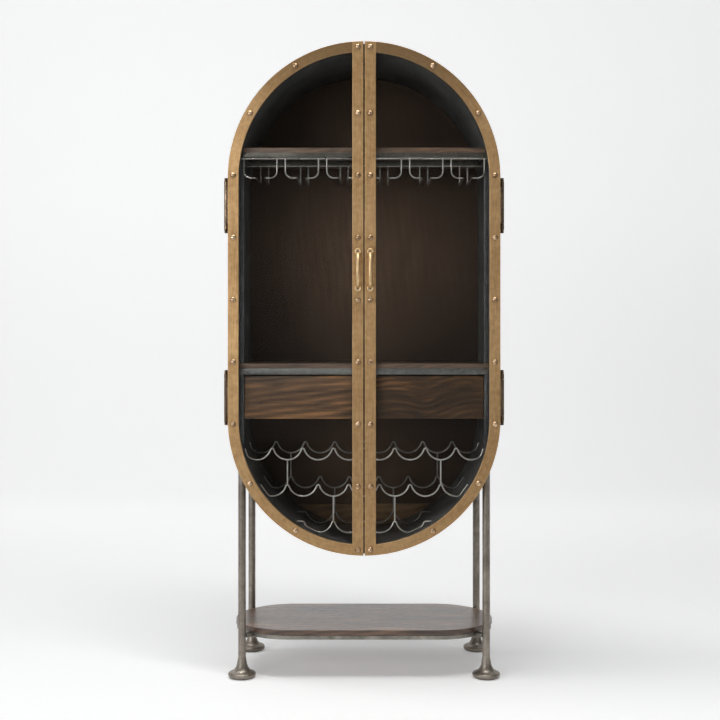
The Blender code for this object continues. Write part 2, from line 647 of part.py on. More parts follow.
def build_wine_rack(holder):
    """Builds three wavy wires at the front and three behind, with short posts between the rows."""
    for set_name, depth, rise in (("front", WINE_FRONT, 0.0), ("rear", WINE_REAR, WINE_REAR_RISE)):
        rows = range(len(WINE_ROW_COUNTS))
        crests = [WINE_FIRST_CREST + rise - row * WINE_ROW_SPACING for row in rows]
        floors = [crest - WINE_SCALLOP_DEPTH for crest in crests]
        for row, post_step in enumerate((UPPER_POST_PITCH_SHARE, MIDDLE_POST_PITCH_SHARE, None)):
            shape = wire(row_path(crests[row], WINE_ROW_COUNTS[row], depth), WINE_WIRE_RADIUS)
            post_place = (post_step or 0.0) * WINE_PITCH
            if post_step is not None:
                post_foot = crests[row + 1] + WINE_WIRE_RADIUS + TOUCH_GAP
                posts = []
                for side in (-1, 1):
                    ends = [(side * post_place, depth, floors[row]), (side * post_place, depth, post_foot)]
                    posts.append(wire(ends, WINE_WIRE_RADIUS))
                shape = boolean(shape, gathered(posts), "UNION")
            row_name = ("upper", "middle", "lower")[row]
            piece(f"{set_name}_wine_row_{row_name}", shape, "wire_steel", holder)


def build_legs(holder):
    """Builds the four legs, cut to sit under the case, and their feet."""
    case_cut = plate([case_pill(CASE_RADIUS + TOUCH_GAP)], CASE_FRONT - CUT_OVERRUN, CASE_BACK + CUT_OVERRUN)
    outer_side = LEG_X + LEG_RADIUS
    rise = math.sqrt(max(CASE_RADIUS ** 2 - outer_side ** 2, 0.0))
    blank_top = CASE_CENTRE_HEIGHT - CASE_STRAIGHT_HALF - rise + CUT_OVERRUN
    profile = []
    for radius_share, height_share in FOOT_PROFILE_SHARES:
        profile.append((LEG_RADIUS + radius_share * (FOOT_RADIUS - LEG_RADIUS), height_share * FOOT_HEIGHT))
    profile = [(0.0, FOOT_HEIGHT)] + profile + [(0.0, 0.0)]
    for depth_sign, depth_name in ((-1, "front"), (1, "back")):
        for side, side_name in ((-1, "left"), (1, "right")):
            place = (side * LEG_X, depth_sign * LEG_Y)
            blank = cylinder(LEG_RADIUS, (*place, FOOT_HEIGHT + TOUCH_GAP), (*place, blank_top), LEG_SIDES)
            leg = boolean(blank, case_cut.copy(), "DIFFERENCE")
            piece(f"{side_name}_{depth_name}_leg", leg, "pewter_steel", holder)
            foot = turned(profile, LEG_SIDES, (*place, 0.0))
            piece(f"{side_name}_{depth_name}_foot", foot, "pewter_steel", holder)


def shelf_outline(radius):
    """Returns the lower shelf's outline at a given end radius, long in X."""
    return [(up, across) for across, up in pill(radius, LOWER_SHELF_STRAIGHT)]


def build_lower_shelf(holder):
    """Builds the wooden lower shelf and the steel ring under it, with a lug to each leg."""
    board = slab([shelf_outline(LOWER_SHELF_RADIUS)], LOWER_BOARD_BOTTOM, LOWER_SHELF_TOP)
    piece("lower_shelf_board", board, "brown_wood", holder)
    ring_outlines = [shelf_outline(LOWER_RING_RADIUS), shelf_outline(LOWER_RING_RADIUS - LOWER_RING_BAR)]
    ring = slab(ring_outlines, LOWER_RING_TOP - LOWER_RING_HEIGHT, LOWER_RING_TOP)
    reach = math.hypot(LEG_X - LOWER_SHELF_STRAIGHT, LEG_Y)
    lug_middle = LOWER_RING_TOP - LOWER_RING_HEIGHT / 2
    lugs = []
    for depth_sign in (-1, 1):
        for side in (-1, 1):
            lug = box((LOWER_RING_RADIUS - LOWER_RING_BAR / 2, -LOWER_LUG_WIDTH / 2, -LOWER_LUG_HEIGHT / 2),
                      (reach - LEG_RADIUS - TOUCH_GAP, LOWER_LUG_WIDTH / 2, LOWER_LUG_HEIGHT / 2))
            angle = math.atan2(depth_sign * LEG_Y, side * (LEG_X - LOWER_SHELF_STRAIGHT))
            pivot = Matrix.Translation((side * LOWER_SHELF_STRAIGHT, 0.0, lug_middle))
            lug.transform(pivot @ Matrix.Rotation(angle, 4, "Z"))
            lugs.append(lug)
    ring = boolean(ring, gathered(lugs), "UNION")
    piece("lower_shelf_ring", ring, "pewter_steel", holder)


def rivet_places():
    """Returns the (across, up) places of one door's rivet heads, for the right door."""
    places = []
    stile_half = CASE_STRAIGHT_HALF + DOOR_RADIUS - STILE_RIVET_END_MARGIN
    middle = CASE_CENTRE_HEIGHT - RIVET_DROP
    for step in range(-STILE_RIVET_STEPS, STILE_RIVET_STEPS + 1):
        places.append((STILE_CENTRE, middle + step * RIVET_STRAIGHT_PITCH))
    for end in (-1, 1):
        places.append((STILE_CENTRE, CASE_CENTRE_HEIGHT + end * stile_half))
        for step in range(1, ARC_RIVETS + 1):
            angle = math.radians(RIVET_FIRST_DEGREES + step * RIVET_PITCH_DEGREES)
            up = CASE_CENTRE_HEIGHT + end * (CASE_STRAIGHT_HALF + BAND_CENTRE_RADIUS * math.cos(angle))
            places.append((BAND_CENTRE_RADIUS * math.sin(angle), up))
    for step in range(-STRAIGHT_RIVET_STEPS, STRAIGHT_RIVET_STEPS + 1):
        places.append((BAND_CENTRE_RADIUS, middle + step * RIVET_STRAIGHT_PITCH))
    return places


def rivet_head(side, across, up):
    """Returns one domed rivet head, sunk a little into the door's front."""
    profile = [(0.0, RIVET_HEIGHT)]
    for angle in RIVET_RING_DEGREES:
        lean = math.radians(angle)
        profile.append((RIVET_RADIUS * math.sin(lean), RIVET_HEIGHT * math.cos(lean)))
    profile += [(RIVET_RADIUS, -RIVET_SINK), (0.0, -RIVET_SINK)]
    head = turned(profile, RIVET_SIDES, (0.0, 0.0, 0.0))
    facing = Matrix.Rotation(math.pi / 2, 4, "X") @ Matrix.Rotation(RIVET_TURN, 4, "Z")
    head.transform(Matrix.Translation((side * across, DOOR_FRONT, up)) @ facing)
    return head


def handle_mesh(side):
    """Returns a bow handle: two round lugs with screw dimples and a bar that swells in the middle."""
    centre_x = side * STILE_CENTRE
    centre_z = CASE_CENTRE_HEIGHT + HANDLE_RISE
    lug_offset = HANDLE_LUG_SPACING / 2
    lug_back = DOOR_FRONT - TOUCH_GAP
    lug_front = lug_back - HANDLE_LUG_THICKNESS
    bar_half = lug_offset - HANDLE_END_OVERLAP_SHARE * HANDLE_LUG_RADIUS
    points = []
    shares = []
    for step in range(HANDLE_STEPS + 1):
        angle = math.pi * (step / HANDLE_STEPS - 1 / 2)
        bow = math.cos(angle)
        points.append((centre_x, HANDLE_LUG_CENTRE_Y - HANDLE_PROJECTION * bow,
                       centre_z + bar_half * math.sin(angle)))
        shares.append(HANDLE_END_RADIUS_SHARE + (1 - HANDLE_END_RADIUS_SHARE) * bow)
    bar = wire(points, HANDLE_BAR_RADIUS, HANDLE_BEVEL_STEPS, shares)
    lugs = []
    dimples = []
    for end in (-1, 1):
        height = centre_z + end * lug_offset
        lugs.append(cylinder(HANDLE_LUG_RADIUS, (centre_x, lug_back, height), (centre_x, lug_front, height),
                             LUG_SIDES))
        screw_height = height + end * HANDLE_SCREW_RADIUS / 2
        dimples.append(cylinder(HANDLE_SCREW_RADIUS, (centre_x, lug_front + HANDLE_SCREW_DEPTH, screw_height),
                                (centre_x, lug_front - CUT_OVERRUN, screw_height), HINGE_SIDES))
    lug_shape = boolean(gathered(lugs), gathered(dimples), "DIFFERENCE")
    return boolean(lug_shape, bar, "UNION")


def build_hinge(side, side_name, level_name, centre_z, case_holder, door_holder):
    """Builds one hinge: a leaf on the case, a leaf on the door and the pin between them."""
    axis_x = side * HINGE_AXIS_X
    half = HINGE_BARREL_LENGTH / 2
    knuckle_end = half - HINGE_END_KNUCKLE
    plate_inner = side * (CASE_RADIUS + TOUCH_GAP)
    plate_outer = side * (CASE_RADIUS + TOUCH_GAP + HINGE_LEAF_THICKNESS)
    plate_front = CASE_FRONT + TOUCH_GAP
    web_inner = (plate_inner + plate_outer) / 2
    shapes = [box((plate_inner, plate_front, centre_z - half),
                  (plate_outer, plate_front + HINGE_CASE_LEAF_WIDTH, centre_z + half))]
    bores = []
    for end in (-1, 1):
        low = (axis_x, HINGE_AXIS_Y, centre_z + end * knuckle_end)
        high = (axis_x, HINGE_AXIS_Y, centre_z + end * half)
        shapes.append(cylinder(HINGE_BARREL_RADIUS, low, high, HINGE_SIDES))
        shapes.append(box((web_inner, plate_front + HINGE_WEB_INSET, low[2] + end * HINGE_WEB_INSET),
                          (axis_x, plate_front + HINGE_WEB_INSET + HINGE_LEAF_THICKNESS,
                           high[2] - end * HINGE_WEB_INSET)))
        bores.append(cylinder(HINGE_BORE_RADIUS, (axis_x, HINGE_AXIS_Y, low[2] - end * HINGE_KNUCKLE_GAP),
                              (axis_x, HINGE_AXIS_Y, high[2] + end * CUT_OVERRUN), HINGE_SIDES))
    leaf = boolean(united(shapes), gathered(bores), "DIFFERENCE")
    piece(f"{side_name}_{level_name}_case_leaf", leaf, "aged_brass", case_holder)

    door_half = knuckle_end - HINGE_KNUCKLE_GAP
    knuckle = cylinder(HINGE_BARREL_RADIUS, (axis_x, HINGE_AXIS_Y, centre_z - door_half),
                       (axis_x, HINGE_AXIS_Y, centre_z + door_half), HINGE_SIDES)
    leaf_inner = side * (DOOR_RADIUS + TOUCH_GAP)
    leaf_outer = side * (DOOR_RADIUS + TOUCH_GAP + HINGE_LEAF_THICKNESS)
    door_plate = box((leaf_inner, DOOR_FRONT, centre_z - door_half),
                     (leaf_outer, DOOR_BACK, centre_z + door_half))
    bore = cylinder(HINGE_BORE_RADIUS, (axis_x, HINGE_AXIS_Y, centre_z - half),
                    (axis_x, HINGE_AXIS_Y, centre_z + half), HINGE_SIDES)
    door_leaf = boolean(united([knuckle, door_plate]), bore, "DIFFERENCE")
    piece(f"{side_name}_{level_name}_door_leaf", door_leaf, "aged_brass", door_holder)

    seat = half + TOUCH_GAP
    finial = [(radius_share * HINGE_BARREL_RADIUS, seat + height_share * HINGE_FINIAL_HEIGHT)
              for radius_share, height_share in FINIAL_PROFILE_SHARES]
    profile = finial + [(HINGE_PIN_RADIUS, seat), (HINGE_PIN_RADIUS, -seat)]
    profile += [(radius, -height) for radius, height in reversed(finial)]
    pin = turned(profile, HINGE_SIDES, (axis_x, HINGE_AXIS_Y, centre_z))
    piece(f"{side_name}_{level_name}_hinge_pin", pin, "aged_brass", case_holder)


def build_door(side, side_name, case_holder):
    """Builds one glazed door with its frame, glass, bead, handle and two hinges."""
    axis_place = (side * HINGE_AXIS_X, HINGE_AXIS_Y, CASE_CENTRE_HEIGHT)
    axis = carrier(f"{side_name}_door_axis", axis_place, case_holder)
    opening_radius = DOOR_RADIUS - BAND_WIDTH
    opening_stile = STILE_EDGE + STILE_WIDTH
    outer = door_outline(side, DOOR_RADIUS, STILE_EDGE)
    opening = door_outline(side, opening_radius, opening_stile)
    frame = plate([outer, opening], DOOR_FRONT, DOOR_BACK)
    rebate_outline = door_outline(side, opening_radius + REBATE_WIDTH, opening_stile - REBATE_WIDTH)
    rebate = plate([rebate_outline], DOOR_BACK - REBATE_DEPTH, DOOR_BACK + CUT_OVERRUN)
    frame = boolean(frame, rebate, "DIFFERENCE")
    heads = [rivet_head(side, across, up) for across, up in rivet_places()]
    frame = boolean(frame, gathered(heads), "UNION")
    piece(f"{side_name}_door_frame", frame, "aged_brass", axis)
    pane_radius = opening_radius + REBATE_WIDTH - TOUCH_GAP
    pane_outline = door_outline(side, pane_radius, opening_stile - REBATE_WIDTH + TOUCH_GAP)
    piece(f"{side_name}_door_glass", plate([pane_outline], GLASS_FRONT, GLASS_BACK), "clear_glass", axis)
    bead = plate([pane_outline, opening], BEAD_FRONT, DOOR_BACK)
    piece(f"{side_name}_glazing_bead", bead, "blackened_steel", axis)
    piece(f"{side_name}_handle", handle_mesh(side), "polished_brass", axis)
    build_hinge(side, side_name, "upper", CASE_CENTRE_HEIGHT + UPPER_HINGE_RISE, case_holder, axis)
    build_hinge(side, side_name, "lower", CASE_CENTRE_HEIGHT - LOWER_HINGE_DROP, case_holder, axis)


def build_drawer(side, side_name, case_holder):
    """Builds one drawer with its front, box and the two runners that carry it."""
    wall = half_width(DRAWER_FRONT_BOTTOM, INTERIOR_CLEAR_RADIUS)
    front_outer = wall - UPRIGHT_WIDTH - DRAWER_SIDE_GAP
    front_inner = DRAWER_MEETING_GAP / 2
    box_outer = front_outer - RUNNER_WALL
    box_inner = DIVIDER_SIDE + TOUCH_GAP + RUNNER_WALL + DRAWER_RUNNING_GAP
    middle = side * (front_outer + front_inner) / 2
    axis = carrier(f"{side_name}_drawer_slide", (middle, DRAWER_FACE, DRAWER_FRONT_BOTTOM), case_holder)
    front = box((side * front_inner, DRAWER_FACE, DRAWER_FRONT_BOTTOM),
                (side * front_outer, DRAWER_FRONT_BACK, DRAWER_FRONT_TOP))
    pull = box((middle - DRAWER_PULL_WIDTH / 2, DRAWER_FRONT_BACK - DRAWER_PULL_DEPTH,
                DRAWER_FRONT_BOTTOM - CUT_OVERRUN),
               (middle + DRAWER_PULL_WIDTH / 2, DRAWER_FRONT_BACK + CUT_OVERRUN,
                DRAWER_FRONT_BOTTOM + DRAWER_PULL_HEIGHT))
    piece(f"{side_name}_drawer_front", boolean(front, pull, "DIFFERENCE"), "drawer_wood", axis)
    shell = box((side * box_inner, DRAWER_BOX_FRONT, DRAWER_BOX_BOTTOM),
                (side * box_outer, DRAWER_BOX_BACK, DRAWER_BOX_BOTTOM + DRAWER_BOX_HEIGHT))
    hollow = box((side * (box_inner + DRAWER_WALL), DRAWER_BOX_FRONT + DRAWER_WALL,
                  DRAWER_BOX_BOTTOM + DRAWER_BOTTOM),
                 (side * (box_outer - DRAWER_WALL), DRAWER_BOX_BACK - DRAWER_WALL,
                  DRAWER_BOX_BOTTOM + DRAWER_BOX_HEIGHT + CUT_OVERRUN))
    piece(f"{side_name}_drawer_box", boolean(shell, hollow, "DIFFERENCE"), "drawer_wood", axis)

    wall_face = half_width(LEDGE_BOTTOM, INTERIOR_CLEAR_RADIUS)
    seats = (("outer", wall_face, box_outer + DRAWER_RUNNING_GAP, box_outer - RUNNER_LEDGE),
             ("inner", DIVIDER_SIDE + TOUCH_GAP, box_inner - DRAWER_RUNNING_GAP, box_inner + RUNNER_LEDGE))
    for place_name, fixed_face, rail_face, ledge_end in seats:
        outline = [(side * fixed_face, LEDGE_BOTTOM), (side * ledge_end, LEDGE_BOTTOM),
                   (side * ledge_end, LEDGE_TOP), (side * rail_face, LEDGE_TOP),
                   (side * rail_face, LEDGE_BOTTOM + RUNNER_HEIGHT),
                   (side * fixed_face, LEDGE_BOTTOM + RUNNER_HEIGHT)]
        runner = plate([outline], RUNNER_FRONT, RUNNER_BACK)
        piece(f"{side_name}_drawer_runner_{place_name}", runner, "drawer_wood", case_holder)


def build_divider(holder):
    """Builds the board between the drawers, which hangs from the middle shelf."""
    low = (-DIVIDER_SIDE, RUNNER_FRONT, LEDGE_BOTTOM)
    high = (DIVIDER_SIDE, BACK_PANEL_FRONT - TOUCH_GAP, MIDDLE_BOARD_BOTTOM - TOUCH_GAP)
    piece("drawer_divider", box(low, high), "drawer_wood", holder)


clear_scene()
MATERIALS = {name: make_material(name) for name in FINISHES}
PARTS = bpy.data.collections.new("bar_cabinet")
bpy.context.scene.collection.children.link(PARTS)

cabinet = carrier("cabinet", (0.0, CABINET_SHIFT, 0.0))
build_case(cabinet)
build_shelves(cabinet)
build_stemware_rack(cabinet)
build_wine_rack(cabinet)
build_divider(cabinet)
build_legs(cabinet)
build_lower_shelf(cabinet)
for door_side, door_name in ((-1, "left"), (1, "right")):
    build_door(door_side, door_name, cabinet)
    build_drawer(door_side, door_name, cabinet)

bpy.context.view_layer.update()
print(f"{len(PARTS.objects)} sub-parts, moved {CABINET_SHIFT:.5f} m to the back")
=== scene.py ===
"""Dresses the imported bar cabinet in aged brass, blackened steel, wood, wire and glass.

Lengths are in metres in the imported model's frame: X across the front, Y to the back and Z up. Each
sub-assembly is a class that builds its pieces over the solids they stand for.
"""

import logging
import math
from dataclasses import dataclass
from enum import Enum
from typing import Any, Callable, Sequence

import bmesh
import bpy
from mathutils import Euler, Matrix, Vector


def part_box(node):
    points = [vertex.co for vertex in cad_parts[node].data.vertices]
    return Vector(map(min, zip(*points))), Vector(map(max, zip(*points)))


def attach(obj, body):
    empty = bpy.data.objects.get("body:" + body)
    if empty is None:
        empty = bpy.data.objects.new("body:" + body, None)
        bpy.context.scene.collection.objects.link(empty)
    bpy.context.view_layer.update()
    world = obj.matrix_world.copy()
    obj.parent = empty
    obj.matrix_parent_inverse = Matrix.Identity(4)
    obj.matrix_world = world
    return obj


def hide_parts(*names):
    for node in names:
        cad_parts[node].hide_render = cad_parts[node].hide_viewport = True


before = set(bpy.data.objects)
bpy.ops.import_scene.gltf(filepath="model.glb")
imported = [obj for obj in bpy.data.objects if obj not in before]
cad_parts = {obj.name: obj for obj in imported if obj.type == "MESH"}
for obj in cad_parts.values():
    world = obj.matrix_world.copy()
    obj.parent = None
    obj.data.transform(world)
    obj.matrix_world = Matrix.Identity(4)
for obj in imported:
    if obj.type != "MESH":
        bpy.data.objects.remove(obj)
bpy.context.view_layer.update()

LOG = logging.getLogger("bar_cabinet")
Point2 = tuple[float, float]
Point3 = tuple[float, float, float]
Colour = tuple[float, float, float]

# The cabinet's main sizes, as in the solids
CENTRE_HEIGHT = 1.193
STRAIGHT_HALF = 0.377
DOOR_RADIUS = 0.425
CASE_RADIUS = 0.422
INTERIOR_RADIUS = 0.392
STILE_EDGE = 0.0372
LEG_RADIUS = 0.012
GAP = 0.0003

# How finely round shapes are cut, and the angles in degrees up to which they look smooth
ARC_STEPS = 48
ROUND_SIDES = 48
WIRE_ANGLE = 50
HEAD_ANGLE = 60
BEVEL_SEGMENTS = 3
HEAD_SIDES = 28
HEAD_RINGS = 16
FILLET_STEPS = 3

# How near points of a solid's copy and of a grown shape are welded, and the angle of a flat face's seams
COPY_WELD = 0.00002
SHAPE_WELD = 0.000002
FLAT_ANGLE = 1.0

# How far a rivet head leans either way, its size, and how much the lean adds to that
HEAD_LEAN = 0.05
HEAD_SIZE = 0.99
HEAD_GROWTH = 0.2

SMOOTH = "SMOOTHSTEP"
SOFT_RANGE = (0.30, 0.70)


class Side(Enum):
    """A side of the cabinet, as its sign along X."""

    LEFT = -1
    RIGHT = 1

    @property
    def label(self) -> str:
        """The side's word in names."""
        return self.name.lower()


# ---- Nodes and trees


class Value:
    """A node's output, with which sums, products and powers can be written."""

    def __init__(self, bench: "TreeBench", socket: bpy.types.NodeSocket) -> None:
        """Keeps the output and the bench of its tree."""
        self.bench, self.socket = bench, socket

    def __add__(self, other: Any) -> "Value":
        """Returns the sum."""
        return self.bench.math("ADD", self, other)

    def __sub__(self, other: Any) -> "Value":
        """Returns the difference."""
        return self.bench.math("SUBTRACT", self, other)

    def __mul__(self, other: Any) -> "Value":
        """Returns the product."""
        return self.bench.math("MULTIPLY", self, other)

    def __pow__(self, other: Any) -> "Value":
        """Returns the power."""
        return self.bench.math("POWER", self, other)

    def __abs__(self) -> "Value":
        """Returns the size without its sign."""
        return self.bench.math("ABSOLUTE", self)


class TreeBench:
    """Adds nodes to one node tree and joins them."""

    def __init__(self, tree: bpy.types.NodeTree) -> None:
        """Keeps the tree that the nodes go into."""
        self.tree = tree

    def feed(self, node: bpy.types.Node, feeds: dict[Any, Any]) -> None:
        """Links a node's inputs, by name or number, to values of other nodes, or sets them.

        Args:
            node: The node.
            feeds: Input name or number to a number, a tuple or a value of another node.
        """
        for key, value in feeds.items():
            if isinstance(value, Value):
                self.tree.links.new(value.socket, node.inputs[key])
            else:
                node.inputs[key].default_value = value

    def add(self, kind: str, feeds: dict[Any, Any], **settings: Any) -> bpy.types.Node:
        """Adds one node.

        Args:
            kind: The node's type name.
            feeds: Input name or number to a number, a tuple or a value of another node.
            settings: Properties of the node, set before its inputs.

        Returns:
            The new node.
        """
        node = self.tree.nodes.new(kind)
        for name, value in settings.items():
            setattr(node, name, value)
        self.feed(node, feeds)
        return node

    def take(self, kind: str, feeds: dict[Any, Any] | None = None, *outputs: int | str,
             **settings: Any) -> Any:
        """Adds one node and returns the named outputs, or the first one where none is named.

        Args:
            kind: The node's type name.
            feeds: Input name or number to a number, a tuple or a value of another node.
            outputs: Names or numbers of the outputs.
            settings: Properties of the node, set before its inputs.

        Returns:
            One value, or a list where more than one output is named.
        """
        node = self.add(kind, feeds or {}, **settings)
        values = [Value(self, node.outputs[output]) for output in outputs or (0,)]
        return values if len(values) > 1 else values[0]

    def math(self, operation: str, first: Any, second: Any = 0.0) -> Value:
        """Returns the result of a Math node, or of a Vector Math node where the second is a vector.

        Args:
            operation: The operation's name.
            first: The first number or value.
            second: The second number, vector or value.

        Returns:
            The result.
        """
        wide = isinstance(second, tuple) or isinstance(second, Value) and second.socket.type == "VECTOR"
        kind = "ShaderNodeVectorMath" if wide else "ShaderNodeMath"
        return self.take(kind, {0: first, 1: second}, operation=operation)

    def split(self, vector: Value) -> list[Value]:
        """Returns a vector's three parts."""
        return self.take("ShaderNodeSeparateXYZ", {0: vector}, "X", "Y", "Z")

    def join(self, x: Any = 0.0, y: Any = 0.0, z: Any = 0.0) -> Value:
        """Returns a vector made of three parts."""
        return self.take("ShaderNodeCombineXYZ", {0: x, 1: y, 2: z})

    def noise(self, vector: Value, scale: Any = 1.0, detail: float = 4.0, distortion: float = 0.0) -> Value:
        """Returns a noise texture's value at a vector."""
        feeds = {"Vector": vector, "Scale": scale, "Detail": detail, "Distortion": distortion}
        return self.take("ShaderNodeTexNoise", feeds)

    def span(self, value: Value, low: float, high: float, to_low: Any = 0.0, to_high: Any = 1.0,
             shape: str = "LINEAR") -> Value:
        """Returns a value mapped from one range to another, clamped, in a line or an S-curve."""
        feeds = {0: value, 1: low, 2: high, 3: to_low, 4: to_high}
        return self.take("ShaderNodeMapRange", feeds, clamp=True, interpolation_type=shape)

    def blend(self, factor: Value, first: Any, second: Any) -> Value:
        """Returns a colour mixed from two colours."""
        first, second = (solid(part) if isinstance(part, tuple) else part for part in (first, second))
        return self.take("ShaderNodeMix", {0: factor, 6: first, 7: second}, 2, data_type="RGBA")

    def bump(self, height: Value, strength: float, distance: float) -> Value:
        """Returns a surface direction with relief."""
        return self.take("ShaderNodeBump", {"Height": height, "Strength": strength, "Distance": distance})

    def group(self, key: str, feeds: dict[str, Any], *outputs: str) -> Any:
        """Places a shared shader effect and returns its named outputs."""
        return self.take("ShaderNodeGroup", feeds, *outputs, node_tree=GROUPS[key])

    def random(self, seed: Value, low: float, high: float) -> Value:
        """Returns a random number for each point.

        Args:
            seed: The random seed.
            low: The lowest number.
            high: The highest number.

        Returns:
            The number.
        """
        node = self.add("FunctionNodeRandomValue", {"Seed": seed}, data_type="FLOAT")
        first, last = [socket for socket in node.inputs if socket.type == "VALUE"][:2]
        first.default_value, last.default_value = low, high
        return Value(self, node.outputs[1])


def solid(colour: Colour) -> tuple[float, float, float, float]:
    """Returns a colour with full opacity."""
    return (*colour, 1.0)


def shaded(colour: Colour, share: float) -> Colour:
    """Returns a colour at a share of its brightness."""
    return tuple(part * share for part in colour)


def new_group(name: str, kind: str, inputs: dict[str, Any], outputs: Sequence[str]
              ) -> tuple[TreeBench, dict[str, Value], bpy.types.Node]:
    """Starts a node group with named sockets.

    Args:
        name: The group's name.
        kind: Shader or Geometry.
        inputs: Input name to its default, or to the kind of a socket that has none.
        outputs: Output names; Vector and Geometry name their own kind, and the others are numbers.

    Returns:
        A bench for the group, its inputs' values by name, and its output node.
    """
    tree = bpy.data.node_groups.new(name, kind + "NodeTree")
    for label, default in inputs.items():
        kind = default if isinstance(default, str) else "Float" if isinstance(default, float) else "Int"
        socket = tree.interface.new_socket(label, in_out="INPUT", socket_type="NodeSocket" + kind)
        if kind != default:
            socket.default_value = default
    for label in outputs:
        kind = label if label in ("Vector", "Geometry") else "Float"
        tree.interface.new_socket(label, in_out="OUTPUT", socket_type="NodeSocket" + kind)
    bench = TreeBench(tree)
    start = bench.add("NodeGroupInput", {})
    given = {label: Value(bench, start.outputs[label]) for label in inputs}
    return bench, given, bench.add("NodeGroupOutput", {})


# How far each layer of the wood's noise is stretched, and its share of the tone
GRAIN_STRETCH = {"broad": (17.0, 17.0, 4.0), "streak": (105.0, 105.0, 8.0), "fine": (360.0, 360.0, 26.0),
                 "pores": (820.0, 820.0, 50.0), "rings": (1.0, 1.0, 0.12), "swirl": (3.4, 3.4, 2.3)}
TONE_SHARE = {"broad": 0.46, "streak": 0.32, "fine": 0.12, "rings": 0.10}
SWIRL_SCALE = 1.6
SWIRL_REACH = (0.16, 0.16, 0.0)


def grain_group() -> bpy.types.NodeTree:
    """Builds the wood grain effect, with the grain running along Z of the vector it is given.

    Returns:
        The group.
    """
    bench, given, out = new_group(
        "wood_grain", "Shader", {"Vector": "Vector", "Figure": 1.0, "Ring Scale": 30.0},
        ("Tone", "Streak", "Pores"))
    place = given["Vector"]
    swirl = bench.noise(place * GRAIN_STRETCH["swirl"], SWIRL_SCALE, detail=2.0)
    shift = (swirl - 0.5) * given["Figure"]
    bent = place + bench.join(shift, shift) * SWIRL_REACH
    rings = bench.take("ShaderNodeTexWave", {
        "Vector": bent * GRAIN_STRETCH["rings"], "Scale": given["Ring Scale"], "Distortion": 4.0,
        "Detail": 3.0, "Detail Scale": 0.7}, "Fac", wave_type="BANDS", bands_direction="DIAGONAL")
    broad = bench.noise(bent * GRAIN_STRETCH["broad"], detail=3.0, distortion=0.4)
    streak = bench.noise(bent * GRAIN_STRETCH["streak"], detail=4.0)
    fine = bench.noise(bent * GRAIN_STRETCH["fine"], detail=3.0)
    pores = bench.noise(bent * GRAIN_STRETCH["pores"], detail=2.0)
    tone = broad * TONE_SHARE["broad"] + streak * TONE_SHARE["streak"]
    tone = tone + fine * TONE_SHARE["fine"] + rings * TONE_SHARE["rings"]
    bench.feed(out, {"Tone": bench.span(tone, 0.36, 0.64), "Streak": bench.span(fine, 0.32, 0.68),
                     "Pores": bench.span(pores, 0.58, 0.72)})
    return bench.tree


def patina_group() -> bpy.types.NodeTree:
    """Builds the metal patina effect: soft blotches, a fine mottle, brush lines along Z and dark specks.

    Returns:
        The group.
    """
    bench, given, out = new_group(
        "metal_patina", "Shader", {"Vector": "Vector", "Blotch Scale": 9.0, "Brush Scale": 500.0},
        ("Blotch", "Mottle", "Brush", "Specks"))
    place = given["Vector"]
    blotch = bench.noise(place, given["Blotch Scale"], distortion=0.5)
    mottle = bench.noise(place, scale=70.0, detail=5.0, distortion=0.3)
    brush = bench.noise(place * (1.0, 1.0, 0.035), given["Brush Scale"], detail=3.0)
    specks = bench.noise(place, scale=260.0, detail=2.0)
    bench.feed(out, {"Blotch": bench.span(blotch, *SOFT_RANGE), "Mottle": bench.span(mottle, *SOFT_RANGE),
                     "Brush": bench.span(brush, *SOFT_RANGE), "Specks": bench.span(specks, 0.66, 0.76)})
    return bench.tree


# How widely and finely the wear, which also stands for painted highlight, looks for edges, and how finely the
# grime and painted shade look for corners
RUB_RADIUS = 0.0016
RUB_SAMPLES = 4
CORNER_SAMPLES = 6


def wear_group() -> bpy.types.NodeTree:
    """Builds the edge wear effect: bright rubbed edges, which also serve as painted highlight, and a
    darkening where surfaces meet, which is grime and painted shade.

    Returns:
        The group.
    """
    bench, given, out = new_group("edge_wear", "Shader", {"Vector": "Vector", "Reach": 0.012},
                                  ("Wear", "Grime"))
    # Bright edges: partly wear and partly painted highlight.
    rounded = bench.take("ShaderNodeBevel", {"Radius": RUB_RADIUS}, samples=RUB_SAMPLES)
    flat = bench.take("ShaderNodeNewGeometry", None, "Normal")
    even = bench.take("ShaderNodeVectorMath", {0: rounded, 1: flat}, "Value", operation="DOT_PRODUCT")
    broken = bench.noise(given["Vector"], scale=120.0, detail=3.0)
    # Where surfaces meet, ambient occlusion paints shade, taken together with grime.
    hidden = bench.take("ShaderNodeAmbientOcclusion", {"Distance": given["Reach"]}, "AO",
                        samples=CORNER_SAMPLES)
    bench.feed(out, {"Wear": bench.span(even, 0.995, 0.90) * bench.span(broken, 0.25, 0.55),
                     "Grime": bench.math("SUBTRACT", 1.0, bench.span(hidden, 0.35, 0.95))})
    return bench.tree


def band_group() -> bpy.types.NodeTree:
    """Builds the effect that bends Z along the door's rounded band, so that brush lines follow it.

    Returns:
        The group.
    """
    bench, given, out = new_group("band_place", "Shader", {"Vector": "Vector"}, ("Vector",))
    x, y, z = bench.split(given["Vector"])
    across, rise = abs(x), z - CENTRE_HEIGHT
    height = abs(rise)
    beyond = bench.math("MAXIMUM", height - STRAIGHT_HALF, 0.0)
    radius = bench.math("SQRT", across ** 2.0 + beyond ** 2.0)
    turn = bench.math("ARCTAN2", beyond, across)
    straight = bench.math("MINIMUM", height, STRAIGHT_HALF)
    along = (straight + turn * DOOR_RADIUS) * bench.math("SIGN", rise)
    band = bench.join(radius * bench.math("SIGN", x), y, along)
    on_band = bench.math("GREATER_THAN", across, STILE_EDGE)
    bench.feed(out, {"Vector": bench.take("ShaderNodeMix", {0: on_band, 4: given["Vector"], 5: band}, 1,
                                          data_type="VECTOR")})
    return bench.tree


GROUPS = {"grain": grain_group(), "patina": patina_group(), "wear": wear_group(), "band": band_group()}


# ---- Finishes


